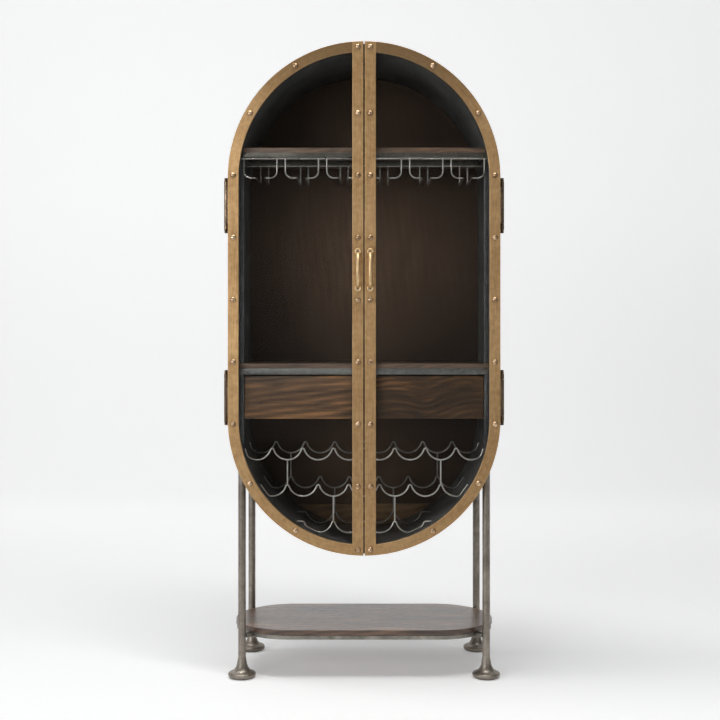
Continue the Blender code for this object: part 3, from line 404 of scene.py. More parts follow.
class Grain(Enum):
    """The way the grain or brush lines of a piece run."""

    UP = (0.0, 0.0, 0.0)
    ACROSS = (0.0, math.pi / 2, 0.0)


def started_material(name: str, grain: Grain) -> tuple[bpy.types.Material, TreeBench, bpy.types.Node, Value]:
    """Starts a material with its Principled shader and a place vector.

    Args:
        name: The material's name.
        grain: The way the pattern runs.

    Returns:
        The material, a bench for it, its Principled node and the place vector.
    """
    material = bpy.data.materials.new(name)
    material.use_nodes = True
    bench = TreeBench(material.node_tree)
    place = bench.take("ShaderNodeTexCoord", None, "Object")
    turned = bench.take("ShaderNodeMapping", {"Vector": place, "Rotation": grain.value})
    return material, bench, material.node_tree.nodes["Principled BSDF"], turned


@dataclass(frozen=True)
class MetalFinish:
    """A brushed or cast metal with patina, worn edges with painted highlight, and grime with painted shade in
    its corners.
    """

    name: str
    slot: str
    light: Colour
    dark: Colour
    # The colour of worn edges, which also serves as painted highlight
    edge: Colour
    roughness: float = 0.38
    metallic: float = 1.0
    blotch_scale: float = 9.0
    brush_scale: float = 500.0
    brush_depth: float = 0.25
    mottle_depth: float = 0.5
    # How strongly grime and painted shade darken where surfaces meet
    grime_depth: float = 0.55
    bump: float = 0.12
    grain: Grain = Grain.UP
    along_band: bool = False
    coat: float = 0.0
    coat_roughness: float = 0.45
    blotch_share: float = 0.5
    fine_share: float = 0.7
    level_floor: float = 0.15
    # How dark soil and painted shade are, as a share of the dark colour
    soil_and_shade_share: float = 0.35
    speck_depth: float = 0.35
    rough_spread: Point2 = (0.09, -0.07)
    rough_reach: float = 1.3
    relief: float = 0.0006
    # Painted shade over the band's top arc: how dark it grows at the crown, and between which heights
    crown_painted_shade_shade: float = 0.0
    crown_painted_shade_span: Point2 = (1.72, 1.98)

    def crown_painted_shade(self, bench: TreeBench, place: Value) -> Value:
        """Returns the share of painted shade, a darkening that grows over the top arc, beside the stile, to
        its crown.

        Args:
            bench: The bench of the material or tree.
            place: The place vector, before it is bent.

        Returns:
            The share of painted shade.
        """
        x, _, z = bench.split(place)
        rise = bench.span(z, *self.crown_painted_shade_span, 0.0, self.crown_painted_shade_shade, SMOOTH)
        return rise * bench.math("GREATER_THAN", abs(x), STILE_EDGE)

    def material(self) -> bpy.types.Material:
        """Builds the material.

        Returns:
            The material.
        """
        material, bench, shader, place = started_material(self.name, self.grain)
        crown_painted_shade = self.crown_painted_shade(bench, place) if self.crown_painted_shade_shade else None
        if self.along_band:
            place = bench.group("band", {"Vector": place}, "Vector")
        feeds = {"Vector": place, "Blotch Scale": self.blotch_scale, "Brush Scale": self.brush_scale}
        blotch, mottle, brush, specks = bench.group("patina", feeds, "Blotch", "Mottle", "Brush", "Specks")
        wear, grime_and_shade = bench.group("wear", {"Vector": place}, "Wear", "Grime")
        brushed = brush * self.brush_depth
        level = blotch * self.blotch_share + (mottle * self.mottle_depth + brushed)
        ceiling = self.blotch_share + self.mottle_depth * self.fine_share + self.brush_depth * self.fine_share
        colour = bench.blend(bench.span(level, self.level_floor, ceiling), self.dark, self.light)
        soil_and_shade = shaded(self.dark, self.soil_and_shade_share)
        # Painted shade: the band darkens over its top arc towards the crown.
        if crown_painted_shade:
            colour = bench.blend(crown_painted_shade, colour, soil_and_shade)
        # Worn edges that are partly painted highlight, then grime with painted shade where surfaces meet.
        colour = bench.blend(wear, colour, self.edge)
        colour = bench.blend(grime_and_shade * self.grime_depth, colour, soil_and_shade)
        most, least = (self.roughness + part for part in self.rough_spread)
        bench.feed(shader, {
            "Base Color": bench.blend(specks * self.speck_depth, colour, soil_and_shade),
            "Roughness": bench.span(blotch + brushed, 0.0, self.rough_reach, most, least),
            "Metallic": self.metallic, "Coat Weight": self.coat, "Coat Roughness": self.coat_roughness,
            "Normal": bench.bump(brush * 0.5 + mottle, self.bump, self.relief)})
        return material


@dataclass(frozen=True)
class WoodFinish:
    """An oiled wood with rings, streaks and open pores, and where they are given a knot, painted shade in
    corners and painted shade on upright faces.
    """

    name: str
    slot: str
    light: Colour
    middle: Colour
    dark: Colour
    figure: float = 1.0
    ring_scale: float = 30.0
    roughness: float = 0.50
    coat: float = 0.0
    pore_depth: float = 0.55
    bump: float = 0.25
    grain: Grain = Grain.ACROSS
    # Painted shade in corners and enclosed spaces: its strength and reach
    soot: float = 0.0
    soot_reach: float = 0.30
    gloss: float = 0.5
    middle_tone: float = 0.55
    streak_depth: float = 0.25
    pore_and_shade_share: float = 0.4
    coat_roughness: float = 0.32
    rough_spread: Point2 = (-0.06, 0.10)
    relief: float = 0.0005
    knot: Point3 | None = None
    knot_reach: float = 0.045
    knot_length: float = 0.55
    knot_pull: Point3 = (0.8, 0.8, 0.0)
    knot_glow: float = 0.6
    knot_focus: float = 4.0
    # Painted shade on upright faces: how dark, and over which facings
    edge_shade: float = 0.0
    edge_span: Point2 = (0.2, 0.8)

    def around_knot(self, bench: TreeBench, place: Value) -> tuple[Value, Value]:
        """Returns the place vector with the grain led round the knot, and how near the knot each place is.

        Args:
            bench: The bench of the material or tree.
            place: The place vector.

        Returns:
            The bent place vector, and a value that is 1 in the knot and fades from it.
        """
        apart = place - tuple(Euler(self.grain.value).to_matrix() @ Vector(self.knot))
        scaled = apart * tuple(share / self.knot_reach for share in (1.0, 1.0, self.knot_length))
        far = bench.take("ShaderNodeVectorMath", {0: scaled}, "Value", operation="LENGTH")
        near = bench.math("POWER", math.e, far * far * -1.0)
        pulled = bench.take("ShaderNodeVectorMath", {0: apart, "Scale": near}, operation="SCALE")
        return place - pulled * self.knot_pull, near

    def material(self) -> bpy.types.Material:
        """Builds the material.

        Returns:
            The material.
        """
        material, bench, shader, place = started_material(self.name, self.grain)
        near = None
        if self.knot:
            place, near = self.around_knot(bench, place)
        feeds = {"Vector": place, "Figure": self.figure, "Ring Scale": self.ring_scale}
        tone, streak, pores = bench.group("grain", feeds, "Tone", "Streak", "Pores")
        colour = bench.blend(bench.span(tone, 0.0, self.middle_tone), self.dark, self.middle)
        colour = bench.blend(bench.span(tone, self.middle_tone, 1.0), colour, self.light)
        colour = bench.blend(streak * self.streak_depth, colour, self.dark)
        deep = shaded(self.dark, self.pore_and_shade_share)
        colour = bench.blend(pores * self.pore_depth, colour, deep)
        if near:
            colour = bench.blend(near ** self.knot_focus * self.knot_glow, colour, self.light)
        # Painted shade: ambient occlusion darkens corners and enclosed compartments.
        if self.soot:
            grime_and_shade = bench.group("wear", {"Vector": place, "Reach": self.soot_reach}, "Grime")
            colour = bench.blend(grime_and_shade * self.soot, colour, deep)
        # Painted shade: faces that stand upright, such as a board's front edge, are darkened by their facing.
        if self.edge_shade:
            _, _, up = bench.split(bench.take("ShaderNodeNewGeometry", None, "Normal"))
            shade = bench.span(abs(up), *self.edge_span, self.edge_shade, 0.0)
            colour = bench.blend(shade, colour, self.dark)
        least, most = (self.roughness + part for part in self.rough_spread)
        bench.feed(shader, {
            "Base Color": colour, "Roughness": bench.span(streak, 0.0, 1.0, least, most),
            "Coat Weight": self.coat, "Coat Roughness": self.coat_roughness, "Specular IOR Level": self.gloss,
            "Normal": bench.bump(streak * 0.5 - pores, self.bump, self.relief)})
        return material


@dataclass(frozen=True)
class GlassFinish:
    """A clear float glass with a faint uneven tint and slow waves; shadows pass through it."""

    name: str
    slot: str
    tint: Colour
    haze: Colour
    shadow: float = 0.42
    bend: float = 1.1
    wave_stretch: Point3 = (1.0, 1.0, 0.3)
    wave_depth: float = 0.05
    relief: float = 0.001

    def material(self) -> bpy.types.Material:
        """Builds the material.

        Returns:
            The material.
        """
        material, bench, shader, place = started_material(self.name, Grain.UP)
        haze = bench.span(bench.noise(place, scale=3.0, detail=5.0), 0.35, 0.65)
        waves = bench.noise(place * self.wave_stretch, scale=4.0, detail=1.0)
        ray = bench.take("ShaderNodeLightPath", None, "Is Shadow Ray")
        bench.feed(shader, {
            "Base Color": bench.blend(haze, self.tint, self.haze), "Roughness": 0.0,
            "Transmission Weight": 1.0, "IOR": self.bend,
            "Alpha": bench.span(ray, 0.0, 1.0, 1.0, self.shadow),
            "Normal": bench.bump(waves, self.wave_depth, self.relief)})
        return material


Finish = MetalFinish | WoodFinish | GlassFinish

# The door brass has painted shade over the top arcs of its band.
AGED_BRASS = MetalFinish("aged_brass_finish", "aged_brass", (0.66, 0.420, 0.200), (0.37, 0.212, 0.087),
                         (0.92, 0.73, 0.48), 0.47, brush_depth=0.5, mottle_depth=0.45, bump=0.16,
                         along_band=True, coat=0.25, crown_painted_shade_shade=0.6)
RIVET_BRASS = MetalFinish("rivet_brass_finish", "aged_brass", (0.92, 0.66, 0.43), (0.26, 0.155, 0.072),
                          (0.90, 0.66, 0.43), 0.31, blotch_scale=60.0, brush_depth=0.0, grime_depth=1.0)
HINGE_BRASS = MetalFinish("hinge_brass_finish", "aged_brass", (0.22, 0.150, 0.094), (0.06, 0.039, 0.024),
                          (0.60, 0.46, 0.32), 0.24, blotch_scale=30.0, grime_depth=0.8)
POLISHED_BRASS = MetalFinish("polished_brass_finish", "polished_brass", (0.98, 0.74, 0.42),
                             (0.76, 0.52, 0.27), (0.98, 0.82, 0.56), 0.47, blotch_scale=40.0,
                             brush_depth=0.1, bump=0.06, coat=0.15)
BLACK_STEEL = MetalFinish("black_steel_finish", "blackened_steel", (0.200, 0.202, 0.198),
                          (0.094, 0.095, 0.093), (0.17, 0.17, 0.17), 0.40, 0.5)
DARK_STEEL = MetalFinish("dark_steel_finish", "shelf_steel", (0.110, 0.112, 0.112), (0.052, 0.053, 0.054),
                         (0.26, 0.26, 0.26), 0.42, 0.6)
SKIN_STEEL = MetalFinish("skin_steel_finish", "pewter_steel", (0.22, 0.205, 0.185), (0.115, 0.105, 0.094),
                         (0.34, 0.32, 0.30), 0.42, 0.9, blotch_scale=5.0, brush_scale=320.0)
PEWTER = MetalFinish("pewter_finish", "pewter_steel", (0.350, 0.311, 0.262), (0.188, 0.163, 0.135),
                     (0.55, 0.51, 0.45), 0.42, 0.85, 16.0, brush_depth=0.05, mottle_depth=0.25, bump=0.05)
RING_STEEL = MetalFinish("ring_steel_finish", "pewter_steel", (0.36, 0.34, 0.30), (0.17, 0.158, 0.135),
                         (0.62, 0.60, 0.55), 0.36, 0.8, 16.0, brush_depth=0.05, mottle_depth=0.25, bump=0.06)
SHELF_STEEL = MetalFinish("shelf_steel_finish", "shelf_steel", (0.20, 0.20, 0.19), (0.085, 0.086, 0.082),
                          (0.42, 0.41, 0.39), 0.38, 0.9, grain=Grain.ACROSS)
FRAME_STEEL = MetalFinish("frame_steel_finish", "shelf_steel", (0.145, 0.135, 0.116), (0.064, 0.060, 0.052),
                          (0.36, 0.355, 0.335), 0.40, 0.9, grain=Grain.ACROSS)
WIRE_STEEL = MetalFinish("wire_steel_finish", "wire_steel", (0.47, 0.45, 0.42), (0.25, 0.238, 0.22),
                         (0.75, 0.74, 0.72), 0.30, 1.0, blotch_scale=30.0, brush_depth=0.1)
# Painted light and shade: the wine rows' wire steel has a lighter copy for the lit front rows and a darker
# copy for the shade at the back.
SHADED_REAR_WIRE = MetalFinish("shaded_rear_wire_finish", "wire_steel", (0.30, 0.285, 0.262), (0.14, 0.132, 0.122),
                        (0.42, 0.40, 0.38), 0.38, 1.0, blotch_scale=30.0, brush_depth=0.1)
LIT_WINE_WIRE = MetalFinish("lit_wine_wire_finish", "wire_steel", (0.66, 0.63, 0.59), (0.38, 0.36, 0.335),
                        (0.80, 0.78, 0.75), 0.36, 1.0, blotch_scale=30.0, brush_depth=0.1)
# The back wood carries strong painted shade, darkest in the enclosed compartments.
BACK_WOOD = WoodFinish("back_wood_finish", "dark_wood", (0.116, 0.072, 0.045), (0.099, 0.061, 0.039),
                       (0.083, 0.051, 0.032), 0.15, 22.0, 0.55, grain=Grain.UP, soot=0.95, gloss=0.12)
SHELF_WOOD = WoodFinish("shelf_wood_finish", "dark_wood", (0.200, 0.116, 0.064), (0.122, 0.072, 0.042),
                        (0.060, 0.036, 0.023), 0.4, 36.0, 0.45)
# The lower shelf's board has painted shade on its upright edge.
LOWER_WOOD = WoodFinish("lower_wood_finish", "brown_wood", (0.450, 0.252, 0.152), (0.195, 0.111, 0.070),
                        (0.040, 0.024, 0.016), 0.15, 28.0, 0.31, coat=0.38, edge_shade=0.55)
BROWN_WOOD = WoodFinish("brown_wood_finish", "brown_wood", (0.210, 0.126, 0.060), (0.138, 0.082, 0.040),
                        (0.074, 0.045, 0.024), 0.4, 24.0, 0.50, gloss=0.2)
DRAWER_WOOD = {
    Side.LEFT: WoodFinish("left_drawer_wood_finish", "drawer_wood", (0.345, 0.168, 0.066),
                          (0.138, 0.073, 0.034), (0.048, 0.030, 0.018), 0.09, 30.0, 0.45, gloss=0.25),
    Side.RIGHT: WoodFinish("right_drawer_wood_finish", "drawer_wood", (0.185, 0.082, 0.026),
                           (0.066, 0.034, 0.014), (0.026, 0.016, 0.009), 0.5, 30.0, 0.45, gloss=0.2,
                           knot=(0.17, -0.2, 0.905))}
BOX_WOOD = WoodFinish("box_wood_finish", "drawer_wood", (0.36, 0.25, 0.15), (0.28, 0.19, 0.115),
                      (0.19, 0.125, 0.075), 0.5, 24.0, 0.55)
CLEAR_GLASS = GlassFinish("clear_glass_finish", "clear_glass", (0.92, 0.925, 0.915), (0.86, 0.865, 0.86))


# ---- Shapes in mesh code


def shaped(target: bpy.types.Mesh, sources: Sequence[bpy.types.Mesh],
           *steps: Callable[[bmesh.types.BMesh], Any]) -> bpy.types.Mesh:
    """Writes meshes, taken together and worked on in steps, into a mesh.

    Args:
        target: The mesh to write into.
        sources: The meshes to start from.
        steps: Work on the shape, in order.

    Returns:
        The target.
    """
    shape = bmesh.new()
    for source in sources:
        shape.from_mesh(source)
    for step in steps:
        step(shape)
    shape.to_mesh(target)
    shape.free()
    return target


def outwards(shape: bmesh.types.BMesh) -> None:
    """Points all faces outwards."""
    bmesh.ops.recalc_face_normals(shape, faces=shape.faces)


def flattened(shape: bmesh.types.BMesh) -> None:
    """Makes flat faces whole."""
    angle = math.radians(FLAT_ANGLE)
    bmesh.ops.dissolve_limit(shape, angle_limit=angle, verts=shape.verts, edges=shape.edges)


def welded(distance: float) -> Callable[[bmesh.types.BMesh], Any]:
    """Returns the step that welds points up to a distance apart."""
    return lambda shape: bmesh.ops.remove_doubles(shape, verts=shape.verts, dist=distance)


def mesh_of(name: str, points: Sequence[Point3], faces: Sequence[Sequence[int]] = ()) -> bpy.types.Mesh:
    """Returns a mesh of points and faces, all of which point outwards.

    Args:
        name: The mesh's name.
        points: The points.
        faces: The points of each face, by number.

    Returns:
        The mesh.
    """
    mesh = bpy.data.meshes.new(name)
    mesh.from_pydata([Vector(point) for point in points], [], [tuple(face) for face in faces])
    return shaped(mesh, [mesh], outwards) if faces else mesh


def joined(name: str, meshes: Sequence[bpy.types.Mesh]) -> bpy.types.Mesh:
    """Returns one mesh that holds all the given ones."""
    return shaped(bpy.data.meshes.new(name), meshes)


def merged_copy(node: str) -> bpy.types.Mesh:
    """Returns a welded copy of a solid's mesh, with its flat faces whole."""
    copy = bpy.data.meshes.new(node + "_copy")
    return shaped(copy, [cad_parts[node].data], welded(COPY_WELD), flattened)


def middle_of(node: str) -> Point3:
    """Returns the middle of a solid's box."""
    return tuple((first + last) / 2 for first, last in zip(*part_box(node)))


def arc(centre: Point2, radius: float, first: float, last: float, steps: int) -> list[Point2]:
    """Returns points on an arc, with angles in degrees counted from the first axis."""
    turns = [math.radians(first + (last - first) * step / steps) for step in range(steps + 1)]
    return [(centre[0] + radius * math.cos(turn), centre[1] + radius * math.sin(turn)) for turn in turns]


def circle(centre: Point2, radius: float, sides: int = ROUND_SIDES) -> list[Point2]:
    """Returns the points of a whole circle."""
    return arc(centre, radius, 0, 360, sides)[:-1]


def half_width(height: float, radius: float) -> float:
    """Returns how far the case's outline of a given end radius lies from the middle at a height."""
    beyond = max(abs(height - CENTRE_HEIGHT) - STRAIGHT_HALF, 0.0)
    return math.sqrt(max(radius ** 2 - beyond ** 2, 0.0))


def pill(radius: float, straight: float, centre: float) -> list[Point2]:
    """Returns two half circles joined by straight sides, long in the second axis."""
    top = arc((0.0, centre + straight), radius, 0, 180, 2 * ARC_STEPS)
    return top + arc((0.0, centre - straight), radius, 180, 360, 2 * ARC_STEPS)


def prism(name: str, first: Sequence[Point3], last: Sequence[Point3]) -> bpy.types.Mesh:
    """Returns the closed shape between two outlines of equal count.

    Args:
        name: The mesh's name.
        first: The outline at one end.
        last: The outline at the other end.

    Returns:
        The closed mesh.
    """
    count = len(first)
    faces: list[Sequence[int]] = [tuple(range(count)), tuple(range(count, 2 * count))]
    faces += [(at, (at + 1) % count, count + (at + 1) % count, count + at) for at in range(count)]
    return mesh_of(name, [*first, *last], faces)


def plate(name: str, outline: Sequence[Point2], front: float, back: float) -> bpy.types.Mesh:
    """Returns a plate with an upright outline, from one depth to another."""
    return prism(name, *([(across, depth, up) for across, up in outline] for depth in (front, back)))


def block(name: str, first: Point3, last: Point3) -> bpy.types.Mesh:
    """Returns a block between two opposite corners, given in any order.

    Args:
        name: The mesh's name.
        first: One corner.
        last: The opposite corner.

    Returns:
        The closed mesh.
    """
    low, high = (tuple(pick(pair) for pair in zip(first, last)) for pick in (min, max))
    outline = [(low[0], low[2]), (high[0], low[2]), (high[0], high[2]), (low[0], high[2])]
    return plate(name, outline, low[1], high[1])


def looped(name: str, rings: Sequence[Sequence[Point3]]) -> bpy.types.Mesh:
    """Returns the closed surface through rings of equal count, the last joined to the first.

    Args:
        name: The mesh's name.
        rings: The points of each ring, in order.

    Returns:
        The closed mesh.
    """
    count = len(rings[0])
    faces = []
    for ring in range(len(rings)):
        here, there = ring * count, (ring + 1) % len(rings) * count
        faces += [(here + at, here + (at + 1) % count, there + (at + 1) % count, there + at)
                  for at in range(count)]
    return mesh_of(name, [point for ring in rings for point in ring], faces)


def turned(name: str, profile: Sequence[Point2], place: Matrix, sides: int = ROUND_SIDES) -> bpy.types.Mesh:
    """Returns a profile of (radius, height) turned about an axis and put in place.

    Args:
        name: The mesh's name.
        profile: Points from one end of the axis to the other; both ends have no radius.
        place: Where the turned shape goes; its axis is Z before that.
        sides: How many faces go round.

    Returns:
        The closed mesh.
    """
    inner = profile[1:-1]
    points: list[Point3] = [(0.0, 0.0, profile[0][1]), (0.0, 0.0, profile[-1][1])]
    for radius, height in inner:
        points += [(across, along, height) for across, along in circle((0.0, 0.0), radius, sides)]
    faces = []
    last = 2 + (len(inner) - 1) * sides
    for at in range(sides):
        after = (at + 1) % sides
        faces.append((0, 2 + at, 2 + after))
        faces.append((1, last + after, last + at))
        for here in range(2, last, sides):
            faces.append((here + at, here + after, here + sides + after, here + sides + at))
    mesh = mesh_of(name, points, faces)
    mesh.transform(place)
    return mesh


def flowing(points: Sequence[Point2], steps: int) -> list[Point2]:
    """Returns a smooth curve through points, with some steps between each two.

    Args:
        points: The points that the curve passes through.
        steps: How many steps lie between two of them.

    Returns:
        The curve's points.
    """
    ends = [points[0], *points, points[-1]]
    result = []
    for at in range(len(points) - 1):
        before, start, end, after = (Vector(point) for point in ends[at:at + 4])
        for step in range(steps):
            share = step / steps
            curved = 2 * before - 5 * start + 4 * end - after
            pull = 2 * start + (end - before) * share + curved * share ** 2
            result.append(tuple((pull + (3 * start - before - 3 * end + after) * share ** 3) / 2))
    return result + [points[-1]]


def upright(x: float, y: float, z: float) -> Matrix:
    """Returns a place whose axis points up."""
    return Matrix.Translation((x, y, z))


def facing(x: float, y: float, z: float) -> Matrix:
    """Returns a place whose axis points to the front."""
    return upright(x, y, z) @ Matrix.Rotation(math.pi / 2, 4, "X")


def rod(name: str, radius: float, length: float, place: Matrix, round_edge: float = 0.0005) -> bpy.types.Mesh:
    """Returns a round rod with softened ends, from its place along its axis.

    Args:
        name: The mesh's name.
        radius: The rod's radius.
        length: The rod's length.
        place: Where its first end goes; its axis is Z before that.
        round_edge: How far its ends are softened.

    Returns:
        The closed mesh.
    """
    profile = [(0.0, 0.0), (radius - round_edge, 0.0), (radius, round_edge),
               (radius, length - round_edge), (radius - round_edge, length), (0.0, length)]
    return turned(name, profile, place)


# ---- Shapes in Geometry Nodes


def shape_group(name: str, sizes: dict[str, Any]) -> tuple[TreeBench, dict[str, Value], bpy.types.Node]:
    """Starts a geometry tree with named sizes between its geometry and its material."""
    inputs = {"Geometry": "Geometry", **sizes, "Material": "Material"}
    return new_group(name, "Geometry", inputs, ("Geometry",))


def ended(bench: TreeBench, given: dict[str, Value], out: bpy.types.Node, shape: Value) -> bpy.types.NodeTree:
    """Ends a geometry tree: its instances become real and take the material.

    Args:
        bench: The tree's bench.
        given: The tree's inputs by name.
        out: The tree's output node.
        shape: The geometry so far.

    Returns:
        The finished tree.
    """
    whole = bench.take("GeometryNodeRealizeInstances", {0: shape})
    feeds = {"Geometry": whole, "Material": given["Material"]}
    bench.feed(out, {0: bench.take("GeometryNodeSetMaterial", feeds)})
    return bench.tree


def wire_tree() -> bpy.types.NodeTree:
    """Builds the tree that makes round wire along every spline of a curve.

    Returns:
        The tree.
    """
    bench, given, out = shape_group("round_wire", {"Radius": 0.0025, "Sides": 16})
    ring = bench.take("GeometryNodeCurvePrimitiveCircle", {
        "Resolution": given["Sides"], "Radius": given["Radius"]})
    tube = bench.take("GeometryNodeCurveToMesh", {"Curve": given["Geometry"], "Profile Curve": ring,
                                                  "Fill Caps": True})
    return ended(bench, given, out, tube)


def heads_tree() -> bpy.types.NodeTree:
    """Builds the tree that sets a domed rivet head on every point, each a little different.

    Returns:
        The tree.
    """
    bench, given, out = shape_group("rivet_heads", {
        "Radius": 0.008, "Height": 0.006, "Turn": math.pi / 2, "Seed": 7, "Foot": -0.2})
    ball = bench.take("GeometryNodeMeshUVSphere", {
        "Segments": HEAD_SIDES, "Rings": HEAD_RINGS, "Radius": 1.0})
    x, y, z = bench.split(bench.take("GeometryNodeInputPosition"))
    flat = bench.join(x, y, bench.math("MAXIMUM", z, given["Foot"]))
    dome = bench.take("GeometryNodeSetPosition", {"Geometry": ball, "Position": flat})
    size = bench.join(given["Radius"], given["Radius"], given["Height"])
    head = bench.take("GeometryNodeTransform", {"Geometry": dome, "Scale": size})
    lean = bench.random(given["Seed"], -HEAD_LEAN, HEAD_LEAN)
    heads = bench.take("GeometryNodeInstanceOnPoints", {
        "Points": given["Geometry"], "Instance": head, "Rotation": bench.join(given["Turn"] + lean, lean),
        "Scale": lean * HEAD_GROWTH + HEAD_SIZE})
    return ended(bench, given, out, heads)


def screws_tree() -> bpy.types.NodeTree:
    """Builds the tree that sets a slotted screw head on every point, its slot at a random turn.

    Returns:
        The tree.
    """
    bench, given, out = shape_group("slotted_screws", {
        "Radius": 0.0035, "Depth": 0.0016, "Facing": "Vector", "Seed": 3,
        "Slot Length": 2.4, "Slot Width": 0.28, "Slot Rise": 0.6})
    radius, depth = given["Radius"], given["Depth"]
    head = bench.take("GeometryNodeMeshCylinder", {"Vertices": HEAD_SIDES, "Radius": radius, "Depth": depth})
    size = bench.join(radius * given["Slot Length"], radius * given["Slot Width"], depth)
    cutter = bench.take("GeometryNodeMeshCube", {"Size": size})
    raised = bench.take("GeometryNodeTransform", {
        "Geometry": cutter, "Translation": bench.join(z=depth * given["Slot Rise"])})
    slotted = bench.take("GeometryNodeMeshBoolean", {"Mesh 1": head, "Mesh 2": raised},
                         operation="DIFFERENCE")
    heads = bench.take("GeometryNodeInstanceOnPoints", {
        "Points": given["Geometry"], "Instance": slotted, "Rotation": given["Facing"]})
    own_turn = bench.join(z=bench.random(given["Seed"], 0.0, math.pi))
    spun = bench.take("GeometryNodeRotateInstances", {"Instances": heads, "Rotation": own_turn})
    return ended(bench, given, out, spun)


def pill_ring_tree() -> bpy.types.NodeTree:
    """Builds the tree that sweeps a rounded wall along the case's pill-shaped outline.

    Returns:
        The tree.
    """
    bench, given, out = shape_group("pill_ring", {
        "End Radius": 0.422, "Straight Half": 0.377, "Centre Height": 1.193, "Wall": 0.002, "Front": -0.167,
        "Depth": 0.376, "Rounding": 0.0006, "Steps": 192, "Firmness": 10000.0})
    ring = bench.take("GeometryNodeCurvePrimitiveCircle", {
        "Resolution": given["Steps"], "Radius": given["End Radius"] - given["Wall"] * 0.5})
    stood = bench.take("GeometryNodeTransform", {"Geometry": ring, "Rotation": (math.pi / 2, 0.0, 0.0)})
    _, _, z = bench.split(bench.take("GeometryNodeInputPosition"))
    way = bench.math("MAXIMUM", bench.math("MINIMUM", z * given["Firmness"], 1.0), -1.0)
    lift = way * given["Straight Half"] + given["Centre Height"]
    offset = bench.join(y=given["Front"] + given["Depth"] * 0.5, z=lift)
    path = bench.take("GeometryNodeSetPosition", {"Geometry": stood, "Offset": offset})
    aimed = bench.take("GeometryNodeSetCurveNormal", {"Curve": path, "Normal": (0.0, 1.0, 0.0)}, mode="FREE")
    wall = bench.take("GeometryNodeCurvePrimitiveQuadrilateral", {
        "Width": given["Depth"], "Height": given["Wall"]})
    rounded = bench.take("GeometryNodeFilletCurve", {
        "Curve": wall, "Count": FILLET_STEPS, "Radius": given["Rounding"]}, mode="POLY")
    swept = bench.take("GeometryNodeCurveToMesh", {"Curve": aimed, "Profile Curve": rounded})
    return ended(bench, given, out, swept)


TREES = {"wire": wire_tree(), "heads": heads_tree(), "screws": screws_tree(), "pill_ring": pill_ring_tree()}


def grown(tree: str, base: bpy.types.ID, finish: Finish, inputs: dict[str, Any]) -> bpy.types.Mesh:
    """Runs a geometry tree over a base and returns the plain mesh.

    Args:
        tree: The tree's key in TREES.
        base: The curve or mesh data that the tree starts from.
        finish: The finish whose material the shape takes.
        inputs: Input name to value.

    Returns:
        The finished mesh, with its faces pointing outwards.
    """
    item = bpy.data.objects.new("base", base)
    bpy.context.scene.collection.objects.link(item)
    modifier = item.modifiers.new("shape", "NODES")
    modifier.node_group = TREES[tree]
    sockets = {entry.name: entry.identifier for entry in TREES[tree].interface.items_tree
               if entry.item_type == "SOCKET" and entry.in_out == "INPUT"}
    for label, value in {**inputs, "Material": STORE.material(finish)}.items():
        modifier[sockets[label]] = value
    bpy.context.view_layer.update()
    ready = item.evaluated_get(bpy.context.evaluated_depsgraph_get())
    mesh = bpy.data.meshes.new_from_object(ready)
    bpy.data.objects.remove(item)
    return shaped(mesh, [mesh], welded(SHAPE_WELD), outwards)


def wire_mesh(paths: Sequence[Sequence[Point3]], radius: float, finish: Finish,
              shares: Sequence[float] | None = None, closed: bool = False) -> bpy.types.Mesh:
    """Returns round wire along paths.

    Args:
        paths: The points of each wire.
        radius: The wire's radius.
        finish: The finish whose material the wire takes.
        shares: Share of the radius at each point, the same for all paths.
        closed: Whether each path joins its own start.

    Returns:
        The wires as one mesh.
    """
    curve = bpy.data.curves.new("paths", "CURVE")
    curve.dimensions = "3D"
    for path in paths:
        spline = curve.splines.new("POLY")
        spline.points.add(len(path) - 1)
        spline.use_cyclic_u = closed
        for at, place in enumerate(path):
            spline.points[at].co = (*place, 1.0)
            spline.points[at].radius = shares[at] if shares else 1.0
    return grown("wire", curve, finish, {"Radius": radius})


# ---- Keeping pieces


class Store:
    """Builds each material once, and turns meshes into pieces that ride on bodies."""

    def __init__(self) -> None:
        """Starts with nothing built."""
        self.made: dict[str, bpy.types.Material] = {}

    def material(self, finish: Finish) -> bpy.types.Material:
        """Returns a finish's material, built at its first use.

        Args:
            finish: The finish.

        Returns:
            Its material.
        """
        if finish.name not in self.made:
            self.made[finish.name] = finish.material()
        return self.made[finish.name]

    def keep(self, name: str, mesh: bpy.types.Mesh, finish: Finish, *nodes: str, body: str = "cabinet",
             bevel: float = 0.0, smooth_angle: float = 32.0) -> None:
        """Turns a mesh into a piece that rides on a body.

        Args:
            name: The piece's name.
            mesh: Its mesh, in place.
            finish: Its finish.
            nodes: The solids it stands for.
            body: The body it rides on.
            bevel: The width of its softened edges, or zero.
            smooth_angle: Edges sharper than this many degrees stay sharp.
        """
        item = bpy.data.objects.new(name, mesh)
        mesh.name = name
        mesh.materials.clear()
        mesh.materials.append(self.material(finish))
        bpy.context.scene.collection.objects.link(item)
        mesh.shade_smooth()
        if bevel:
            softened = item.modifiers.new("soft_edges", "BEVEL")
            softened.width = bevel
            softened.segments = BEVEL_SEGMENTS
            softened.limit_method = "ANGLE"
            softened.angle_limit = math.radians(smooth_angle)
            softened.harden_normals = True
        else:
            mesh.set_sharp_from_angle(angle=math.radians(smooth_angle))
        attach(item, body)
        if nodes:
            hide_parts(*nodes)
        LOG.info("%s rides on %s with %d faces", name, body, len(mesh.polygons))

    def refine(self, node: str, finish: Finish, bevel: float, body: str = "cabinet") -> None:
        """Keeps a copy of a solid with softened edges in its place."""
        self.keep(node + "_piece", merged_copy(node), finish, node, body=body, bevel=bevel)


STORE = Store()


# ---- Sub-assemblies


